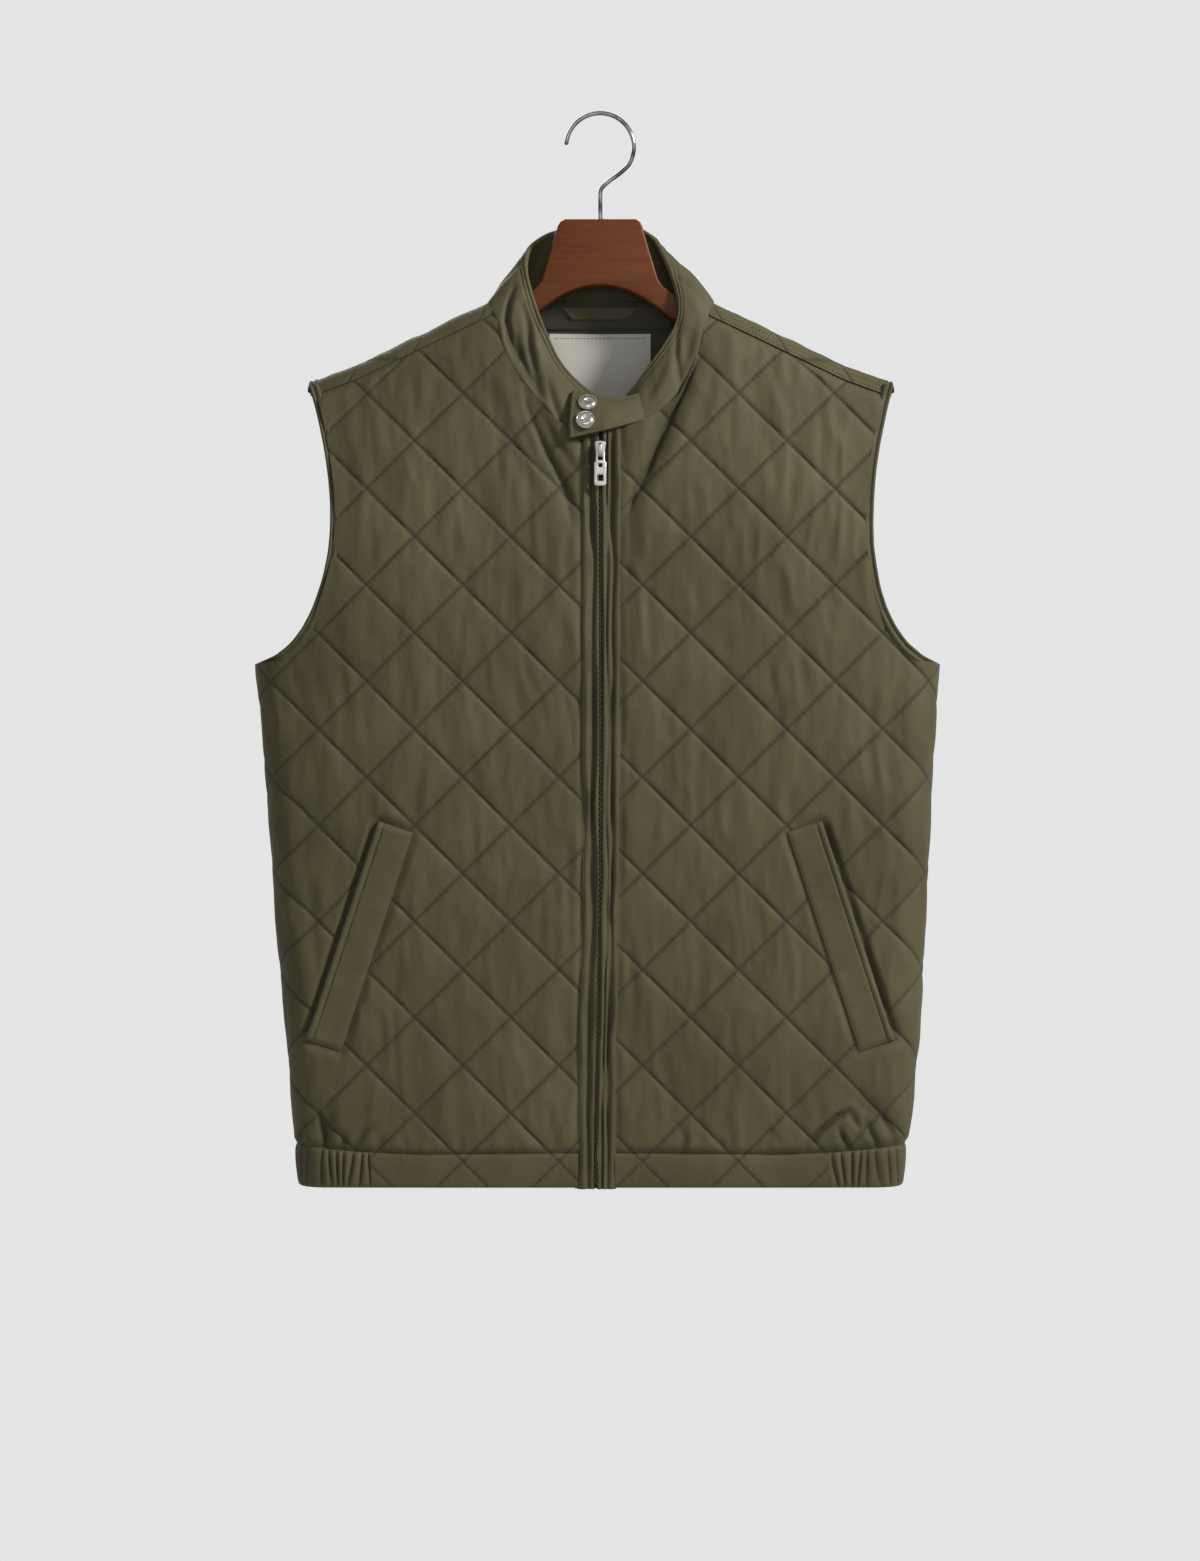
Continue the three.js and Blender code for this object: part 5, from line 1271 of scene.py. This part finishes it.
def makeCollar():
    shares = np.linspace(0, 1, collar["stations"])
    sections, outwards, paintedShades = [], [], []
    lapped = smooth((shares - collar["lapFrom"]) / 0.05) * smooth((collar["lapTo"] - shares) / 0.05)
    for up, lift in collarRows:
        level = math.sin(math.pi * min(up, 1))
        lowered = up - collar["lap"] * lapped * (1 - min(up, 1)) ** 6
        flat, _ = collarPoints(shares, up, lift)
        crease = foldDepth(flat[:, 0], flat[:, 2], collarFolds, 0.25) * (flat[:, 1] < 0) * (1 - 0.9 * up**6)
        for at, lean, depth, width in collarCreases:
            crease += depth * level**0.5 * np.exp(-(((shares - at - lean * up) / width) ** 2))
        crease += softNoise(shares * 46, up * 1.7, 131) * 0.7 * level
        crease += softNoise(shares * 17, up * 3.1, 133) * 0.9 * level
        crease *= 0.25 + 0.75 * smooth(np.minimum(shares, 1 - shares) / 0.05)
        points, outward = collarPoints(shares, lowered, lift - crease)
        # Painted shade in the collar's folds and along its lower edge
        paintedShades.append(np.clip(crease / 3.6, 0, 1) + 0.6 * math.exp(-((up / 0.035) ** 2)))
        sections.append(points)
        outwards.append(outward)
    sections = np.stack(sections, 1)
    piece = tube("stand_collar", sections, uv=runUv(sections), finishes=[shellPlain], sharp=60,
                 crease=np.stack(paintedShades, 1))
    settle(piece, ["collar"])
    for row in collarStitchRows[:2]:
        sewAlong(sections[:, row], outwards[row])
    inside = collarStitchRows[2]
    sewAlong(sections[:, inside], -outwards[inside])
    print("collar done")


makeCollar()


# Collar tab, its cross sections from the lower edge to the upper edge
tab = {
    "up": [0, 0.3, 0.6, 0.85, 1],
    "leftX": [23, 24, 24, 23, 22],
    "leftZ": [-247, -242, -236, -231.5, -229],
    "rightX": [-24, -24.5, -23.5, -22.5, -21.5],
    "rightZ": [-258, -246, -233, -223, -218.5],
    "y": [-41, -38.8, -33.8, -27.8, -23.9],
    "end": 0.943,  # along the collar, where the tab runs into it
    "blendFrom": 0.58,
    "stitchIn": 0.085,  # from its right end
}


def tabPoints(share, up, lift):
    # share runs from the right end to the left end
    share, up, lift = np.broadcast_arrays(np.asarray(share, float), up, lift)

    def at(level):
        read = lambda key: lookUp(level, tab["up"], tab[key], 0.06)
        x = read("rightX") + (read("leftX") - read("rightX")) * share
        z = read("rightZ") + (read("leftZ") - read("rightZ")) * share
        return np.stack([x, read("y"), z], -1)

    rising = at(np.minimum(up + 0.05, 1)) - at(np.maximum(up - 0.05, 0))
    outward = np.cross(np.array([1.0, 0, 0]), rising)
    outward /= np.linalg.norm(outward, axis=-1, keepdims=True)
    return at(up) + outward * lift[..., None], outward


def makeTab():
    ups = np.concatenate([[0.0, 0.004, 0.02, 0.05, 0.09, 0.11, 0.13], np.linspace(0.18, 0.82, 12),
                          [0.87, 0.89, 0.91, 0.95, 0.98, 0.996, 1.0]])
    hemmed = [1.2, 2.2, 2.8, 2.9, 2.55, 2.3, 2.6]
    lifts = np.concatenate([hemmed, np.full(12, 2.7), hemmed[::-1]])
    share = np.linspace(0, 1, 40)
    share = np.concatenate([[0, 0.004, 0.015, 0.035], share[2:-2], [0.965, 0.985, 0.996, 1]])
    rows = []
    ends = np.minimum(share, 1 - share)
    edge = np.sqrt(np.clip(ends / 0.03, 0, 1))
    groove = np.exp(-(((ends - tab["stitchIn"]) / 0.014) ** 2)) * 0.5
    underside = [(1.0, 0.4), (0.97, 0.0), (0.5, 0.0), (0.03, 0.0), (0.0, 0.4)]
    for up, lift in list(zip(ups, lifts)) + underside:
        raised = lift
        if lift > 1:
            soft = softNoise(share * 5, up * 4, 141) * 0.35
            fold = 1.1 * np.exp(-(((share - 0.62 - 0.4 * up) / 0.05) ** 2)) * (0.4 + 0.6 * up)
            raised = 0.5 + (lift - 0.5) * edge + (soft - fold - groove) * edge
        onto, _ = collarPoints(np.array([tab["end"]]), 0.02 + 0.6 * up, -0.4 + 0.4 * lift)
        blend = smooth((share - tab["blendFrom"]) / (1 - tab["blendFrom"]))[:, None]
        rows.append(tabPoints(share, up, raised)[0] * (1 - blend) + onto * blend)
    sections = np.stack(rows, 1)
    piece = tube("neck_tab", sections, uv=runUv(sections), finishes=[shellPlain], sharp=60)
    settle(piece, ["collar_tab"])
    inside = np.linspace(0.09, 0.58, 30)
    for level in (0.11, 0.89):
        sewAlong(*tabPoints(inside, level, 2.5))
    sewAlong(*tabPoints(tab["stitchIn"], np.linspace(0.11, 0.89, 30), 2.4))
    print("tab done")


makeTab()


def turned(name, profile, centre, axis, finish, steps=56, sharp=40):
    # A round piece from its outline: distance from the axis and height along it
    axis = Vector(axis).normalized()
    aside = axis.orthogonal().normalized()
    other = axis.cross(aside)
    points, faces = [], []
    for k in range(steps):
        turn = 2 * math.pi * k / steps
        way = aside * math.cos(turn) + other * math.sin(turn)
        for radius, high in profile[1:-1]:
            points.append(np.array(centre) + np.array(way) * radius + np.array(axis) * high)
    points.append(np.array(centre) + np.array(axis) * profile[0][1])
    points.append(np.array(centre) + np.array(axis) * profile[-1][1])
    size = len(profile) - 2
    bottom, top = steps * size, steps * size + 1
    for k in range(steps):
        a, b = k * size, ((k + 1) % steps) * size
        for n in range(size - 1):
            faces.append((a + n, b + n, b + n + 1, a + n + 1))
        faces.append((bottom, b, a))
        faces.append((top, a + size - 1, b + size - 1))
    return meshOf(name, points, faces, finishes=[finish], sharp=sharp)


def makeSnaps():
    cap = [(0, 0), (6.6, 0), (7.2, 0.25), (7.5, 0.8), (7.45, 1.3), (7.1, 1.7), (6.6, 1.75), (6.3, 1.6),
           (6.0, 1.9), (5.2, 2.55), (4.2, 2.95), (3.2, 3.05), (2.5, 2.9), (2.1, 2.5), (1.5, 2.25),
           (0.7, 2.15), (0, 2.12)]
    for key, x, up in (("lower", -11.3, 0.33), ("upper", -9.5, 0.7)):
        rightX, leftX = (np.interp(up, tab["up"], tab[edge]) for edge in ("rightX", "leftX"))
        centre, outward = tabPoints((x - rightX) / (leftX - rightX), up, 3.2)
        piece = turned(f"snap_{key}", cap, centre, outward, capMetal)
        settle(piece, [f"collar_button_{key}"])
    print("snaps done")


makeSnaps()


# Pieces inside the back of the neck
neckPieces = {
    "facing": {"topHalf": 56, "bottomHalf": 56, "topZ": -147.2, "bottomZ": -165, "thick": 1.4, "behind": 0.6,
               "columns": 60, "rows": 12, "waves": 5, "soft": 0.2, "bow": 0, "seed": 151},
    "label": {"topHalf": 40, "bottomHalf": 40, "topZ": -168.5, "bottomZ": -234, "thick": 1.0, "behind": 0.6,
              "columns": 60, "rows": 40, "waves": 1.4, "soft": 0.5, "bow": 0.4, "seed": 153},
    "loop": {"topHalf": 30, "bottomHalf": 22, "topZ": -148, "bottomZ": -157, "thick": 1.6, "behind": 2.4,
             "columns": 40, "rows": 8, "waves": 3, "soft": 0.3, "bow": 0, "seed": 157},
}


def neckSheet(name, node, spec, finish):
    columns, rows = spec["columns"], spec["rows"]
    share = np.linspace(-1, 1, columns)
    levels = np.linspace(0, 1, rows)
    outline = [(down, 0.0) for down in levels] + [(down, 1.0) for down in levels[::-1]]
    sections = []
    for down, deep in outline:
        half = spec["topHalf"] + (spec["bottomHalf"] - spec["topHalf"]) * down
        z = spec["topZ"] + (spec["bottomZ"] - spec["topZ"]) * down
        soft = softNoise(share * spec["waves"], down * 2.0, spec["seed"]) * spec["soft"]
        rounding = 0.35 * (np.abs(2 * down - 1) ** 8)
        lift = -spec["behind"] - (spec["thick"] - rounding) * (1 - deep) - np.abs(soft) * (1 - deep) * 0.999
        lift = lift - spec["bow"] * np.cos(share * quarter) * math.sin(math.pi * down)
        sections.append(clothPoint(back, share * half, z, lift))
    sections = np.stack(sections, 1)
    piece = tube(name, sections, uv=runUv(sections), finishes=[finish], sharp=60)
    settle(piece, [node])
    return sections


def makeNeck():
    neckSheet("neck_facing_strip", "neck_facing", neckPieces["facing"], liningCloth)
    label = neckSheet("bare_label", "neck_label", neckPieces["label"], beigeWeave)
    stitched = label[3:-3, 2]
    sewAlong(stitched, np.repeat([[0.0, -1.0, 0.0]], len(stitched), axis=0))
    neckSheet("hanging_loop", "hang_loop", neckPieces["loop"], trimCloth)
    print("neck done")


makeNeck()


# Plates with round edges, drawn flat and filled as curves
def plate(name, outline, holes, thick, bevel, finish):
    data = bpy.data.curves.new(name, "CURVE")
    data.dimensions = "2D"
    data.fill_mode = "BOTH"
    data.extrude = (thick / 2 - bevel) * mm
    data.bevel_depth = bevel * mm
    data.bevel_resolution = 2
    data.offset = -bevel * mm
    for path in [outline] + holes:
        spline = data.splines.new("POLY")
        spline.points.add(len(path) - 1)
        for point, (x, z) in zip(spline.points, path):
            point.co = (x * mm, z * mm, 0, 1)
        spline.use_cyclic_u = True
    drawn = bpy.data.objects.new(name + "_curve", data)
    bpy.context.scene.collection.objects.link(drawn)
    bpy.context.view_layer.update()
    mesh = bpy.data.meshes.new_from_object(drawn.evaluated_get(bpy.context.evaluated_depsgraph_get()))
    bpy.data.objects.remove(drawn)
    mesh.name = name
    mesh.materials.clear()
    mesh.materials.append(finish)
    return pieceOf(name, mesh, 35, weld=0.02 * mm)


def placeMesh(piece, rows):
    # rows are the directions of the drawing's own axes and the place of its origin, in millimetres
    points = np.zeros(len(piece.data.vertices) * 3, dtype=np.float32)
    piece.data.vertices.foreach_get("co", points)
    points = points.reshape(-1, 3)
    turn = np.array(rows[:3], float)
    moved = points @ turn + np.array(rows[3]) * mm
    piece.data.vertices.foreach_set("co", moved.astype(np.float32).ravel())
    piece.data.update()
    if np.linalg.det(turn) < 0:
        piece.data.flip_normals()


slider = {"x": 0.2, "topZ": -258.5, "length": 12.5, "width": 8.6, "crown": 1.9, "thick": 3,
          "faceShare": 0.42, "bridgeWidth": 2.8, "bridgeRise": 5.2}
pull = {"width": 9.4, "length": 25.5, "thick": 1.7, "window": 5.8, "bar": 0.85, "holeUpper": 2.9,
        "holeLower": 4.7, "neck": 3.4, "corner": 1.4, "play": 0.5}
upright = ((1, 0, 0), (0, 0, 1), (0, -1, 0))  # a drawing that stands facing the front


def roundedLoop(width, height, centreZ, radius, steps=4):
    points = []
    for cornerX, cornerZ, start in ((1, 1, 0), (-1, 1, 90), (-1, -1, 180), (1, -1, 270)):
        for n in range(steps + 1):
            turn = math.radians(start + 90 * n / steps)
            points.append((cornerX * (width / 2 - radius) + radius * math.cos(turn),
                           centreZ + cornerZ * (height / 2 - radius) + radius * math.sin(turn)))
    return points


def makeSlider():
    _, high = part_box("zip_slider")
    backY = high[1] / mm
    frontY = backY - slider["thick"]
    half, topZ, length = slider["width"] / 2, slider["topZ"], slider["length"]
    outline = []
    for turn in math.pi * np.linspace(0, 1, 9):
        rounded = max(0, math.sin(turn)) ** 0.8
        outline.append((-half * math.cos(turn), topZ + slider["crown"] * (rounded - 1)))
    outline += [(half - 0.3, topZ - 5), (half - 1.2, topZ - length + 1), (half - 2.2, topZ - length),
                (2.2 - half, topZ - length), (1.2 - half, topZ - length + 1), (0.3 - half, topZ - 5)]
    thick = slider["thick"] * slider["faceShare"]
    pieces = []
    for name, y in (("slider_face", frontY + thick / 2), ("slider_rear", backY - thick / 2)):
        pieces.append(plate(name, outline, [], thick, 0.35, zipMetal))
        placeMesh(pieces[-1], upright + ((slider["x"], y, 0),))
    wedge = plate("slider_wedge", roundedLoop(2.2, 7, topZ - 5, 0.9), [], slider["thick"], 0.1, zipMetal)
    placeMesh(wedge, upright + ((slider["x"], (frontY + backY) / 2, 0),))
    top, bottom, rise = topZ - 1.4, topZ - length + 0.4, slider["bridgeRise"]
    arch = [(-0.5, top), (rise - 1.9, top - 0.5), (rise - 0.5, top - 1.4), (rise, top - 2.6),
            (rise, bottom + 2.2), (rise - 0.5, bottom + 0.8), (rise - 1.6, bottom), (-0.5, bottom)]
    window = [(0.2, top - 2), (0.2, bottom + 1.5), (rise - 1.9, bottom + 1.5), (rise - 1.6, bottom + 2.2),
              (rise - 1.6, top - 3), (rise - 2.2, top - 2.4)]
    bridge = plate("slider_bridge", arch, [window], slider["bridgeWidth"], 0.45, zipMetal)
    placeMesh(bridge, ((0, -1, 0), (0, 0, 1), (1, 0, 0), (slider["x"], frontY, 0)))
    settle(joined("slider_body", pieces + [wedge, bridge]), ["zip_slider"])


def makePull():
    joint = frame["joints"][0]
    low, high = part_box("zip_pull")
    hingeY = (low[1] + high[1]) / 2 / mm
    hingeZ = high[2] / mm - pull["bar"]
    half, length, window, bar = pull["width"] / 2, pull["length"], pull["window"], pull["bar"]
    neck, corner = pull["neck"], pull["corner"]
    outline = [(-neck + 0.5, bar), (neck - 0.5, bar), (neck, bar - 0.5), (neck, -window - 0.6),
               (half, -window - 2)]
    for cornerX, start in ((1, 0), (-1, 270)):
        for turn in np.radians(np.linspace(start, start - 90, 6)):
            outline.append((cornerX * (half - corner) + corner * math.cos(turn),
                            -length + corner + corner * math.sin(turn)))
    outline += [(-half, -window - 2), (-neck, -window - 0.6), (-neck, bar - 0.5)]
    inner = slider["bridgeWidth"] / 2 + pull["play"]
    legs = [(-inner, -bar), (-inner, -window), (inner, -window), (inner, -bar)]
    holes = [legs, roundedLoop(pull["holeUpper"], pull["holeUpper"], -window - 4, 0.3),
             roundedLoop(pull["holeLower"], pull["holeLower"], -length + 6, 0.35)]
    piece = plate("pull_plate", outline, holes, pull["thick"], 0.3, zipMetal)
    placeMesh(piece, upright + ((slider["x"], hingeY, hingeZ),))
    settle(piece, ["zip_pull"], rides=pullBody)
    print("pull hangs on", joint["name"])


makeSlider()
makePull()


# Hanger: the shaped board at the neck with an arm under each shoulder
board = {
    "thick": 20,
    "bevel": 1.6,
    "armFrom": 62,
    "roundFrom": 205,  # where the arm's tip begins to round off
    "armTip": 219,
    "armClear": 0.5,  # under the cloth
    "heightNeck": 30,
    "heightTip": 25,
    "span": 45,  # half the arch under the neck
    "apex": -134.2,
    "spring": -152,
    "rightTrim": 0.8,  # the top's right corner is cut a little further in
}
boardEdge = [(28, -82.6), (31, -84.6), (33, -88), (38.6, -107.6), (45.5, -130), (50, -136), (60, -142.4),
             (90, -160.4), (90, -178), (70, -169), (52, -157)]
# The underside of an arm, from front to back: shares of its half width and of its height
armUnder = [(0.99, 0.62), (0.9, 0.84), (0.66, 0.96), (0.3, 1.0)]


def makeBoard():
    span, apex, spring = board["span"], board["apex"], board["spring"]
    outline = [(-x, z) for x, z in boardEdge[:0:-1]]
    outline += [(board["rightTrim"] - boardEdge[0][0], boardEdge[0][1])] + boardEdge
    outline += [(x, apex + (spring - apex) * (x / span) ** 2) for x in np.linspace(span, -span, 25)]
    middle = plate("hanger_neck", outline, [], board["thick"], board["bevel"], hangerWood)
    placeMesh(middle, upright + ((0, 0, 0),))
    pieces = [middle]
    turns = np.linspace(0, math.pi, 21)
    wide = body["roll"] - board["armClear"]
    roundRun = board["armTip"] - board["roundFrom"]
    for side in (right, left):
        stations = np.concatenate([np.linspace(board["armFrom"], board["roundFrom"], 40),
                                   board["roundFrom"] + roundRun * np.sin(np.linspace(0.08, quarter, 12))])
        sections = []
        for out in stations:
            share = (out - board["armFrom"]) / (board["armTip"] - board["armFrom"])
            end = max(0.0, (out - board["roundFrom"]) / (roundRun + 0.2))
            shrink = math.sqrt(max(0.02, 1 - end**2.4))
            high = board["heightNeck"] + (board["heightTip"] - board["heightNeck"]) * share
            x = side * out
            top = shoulderPoint(x, turns, -board["armClear"])
            topZ = float(insideTop(x)) - board["armClear"]
            under = [(x, wide * across, topZ - high * down) for across, down in armUnder]
            under += [(x, -wide * across, topZ - high * down) for across, down in armUnder[::-1]]
            section = np.vstack([top, under])
            centre = section.mean(0)
            sections.append(centre + (section - centre) * np.array([1, shrink, shrink]))
        arm = tube(f"arm_{sideKey(side)}", np.array(sections), finishes=[hangerWood], sharp=50)
        pieces.append(arm)
    settle(joined("wooden_hanger", pieces), ["hanger_board"])


hook = {
    "wire": 1.7,
    "radius": 26.5,
    "from": 173,  # degrees round the ring, from its tip down to the bend
    "to": -32,
    "bend": [(15.5, -45.5), (6, -52.5), (0.8, -58), (0.2, -64), (0.2, -72)],
    "shank": [(0.2, -80), (0.2, -95)],
    "ring": [(0, 0), (3.4, 0), (3.7, 0.3), (3.7, 0.9), (3.2, 1.4), (2.2, 1.6), (0, 1.6)],
}


def makeHook():
    wire, radius = hook["wire"], hook["radius"]
    centreZ = wire - radius
    turns = np.radians(np.linspace(hook["from"], hook["to"], 60))
    path = [(radius * math.cos(turn), centreZ + radius * math.sin(turn)) for turn in turns]
    bend = catmull([path[-3], path[-1]] + hook["bend"], np.linspace(1 / 6, 1, 40))
    path += [tuple(point) for point in bend[1:]] + hook["shank"]
    path = np.array([(x, 0.0, z) for x, z in path])
    way = np.gradient(path, axis=0)
    way /= np.linalg.norm(way, axis=1, keepdims=True)
    aside = np.array([0.0, 1.0, 0.0])
    sections = []
    for k in range(18):
        turn = 2 * math.pi * k / 18
        sections.append(path + wire * (aside * math.cos(turn) + np.cross(way, aside) * math.sin(turn)))
    sections = np.stack(sections, 1)
    ends = []
    for share in (0.98, 0.87, 0.62, 0.25):  # the rounded tip
        shift = wire * math.sqrt(1 - share**2)
        centre = path[0] - way[0] * shift
        ends.append(centre + (sections[0] - path[0]) * share)
    sections = np.vstack([np.array(ends[::-1]), sections])
    bent = tube("wire_hook", sections, finishes=[chromeWire], sharp=60)
    ring = turned("ferrule", hook["ring"], (0.2, 0, boardEdge[0][1]), (0, 0, 1), chromeWire)
    settle(joined("hook_wire", [bent, ring]), ["hanger_hook"])


makeBoard()
makeHook()
print("hanger done")
makeThreads()


# Floor, light and camera
view = {
    "width": 0.936,  # of the picture, at the vest
    "middleZ": -0.5207,
    "distance": 2.75,
    "plane": -0.01,
    "wall": 0.78,
    "ambient": 0.33,
    "floorZ": -1620,
    "sensor": 36,
}


def lamp(name, spot, aim, size, power, tint=(1, 1, 1)):
    data = bpy.data.lights.new(name, "AREA")
    data.shape, data.size, data.energy, data.color = "DISK", size, power, tint
    made = bpy.data.objects.new(name, data)
    made.location = spot
    made.rotation_euler = (Vector(aim) - Vector(spot)).to_track_quat("-Z", "Y").to_euler()
    bpy.context.scene.collection.objects.link(made)


def makeStage():
    scene = bpy.context.scene
    pale = Paint("paleFloor", Base_Color=colour(0.72, 0.72, 0.71), Roughness=0.8).material
    disc = [(0, 0), (1150, 0), (1160, 10), (1160, 30), (0, 30)]
    floor = turned("floor", disc, (0, 0, view["floorZ"]), (0, 0, 1), pale, steps=96)
    floor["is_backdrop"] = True
    world = bpy.data.worlds.new("paleRoom")
    world.use_nodes = True
    scene.world = world
    tree = world.node_tree
    shade = tree.nodes["Background"]
    seen = tree.nodes.new("ShaderNodeBackground")
    shade.inputs[0].default_value = colour(1, 1, 1)
    shade.inputs[1].default_value = view["ambient"]
    seen.inputs[0].default_value = colour(1, 1, 1)
    seen.inputs[1].default_value = view["wall"]
    rays = tree.nodes.new("ShaderNodeLightPath")
    choice = tree.nodes.new("ShaderNodeMixShader")
    tree.links.new(rays.outputs["Is Camera Ray"], choice.inputs[0])
    tree.links.new(shade.outputs[0], choice.inputs[1])
    tree.links.new(seen.outputs[0], choice.inputs[2])
    tree.links.new(choice.outputs[0], tree.nodes["World Output"].inputs[0])
    lamp("key", (1.95, -1.25, 0.95), (0.05, 0, -0.45), 0.5, 73, (1, 0.985, 0.96))
    lamp("fill", (0.3, -3.0, 0.3), (0, 0, -0.5), 2.0, 9, (0.98, 0.99, 1))
    lamp("rear", (-0.9, 2.2, 0.9), (0, 0, -0.45), 1.6, 26)
    scene.view_settings.view_transform = "Standard"
    data = bpy.data.cameras.new("camera")
    data.sensor_fit = "HORIZONTAL"
    data.sensor_width = view["sensor"]
    data.lens = view["sensor"] * view["distance"] / view["width"]
    data.clip_end = 30
    camera = bpy.data.objects.new("camera", data)
    camera.location = (0, view["plane"] - view["distance"], view["middleZ"])
    camera.rotation_euler = (quarter, 0, 0)
    scene.collection.objects.link(camera)
    scene.camera = camera


makeStage()
print("stage done")

{"cad": cadBox, "visual": [list(corner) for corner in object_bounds()]}
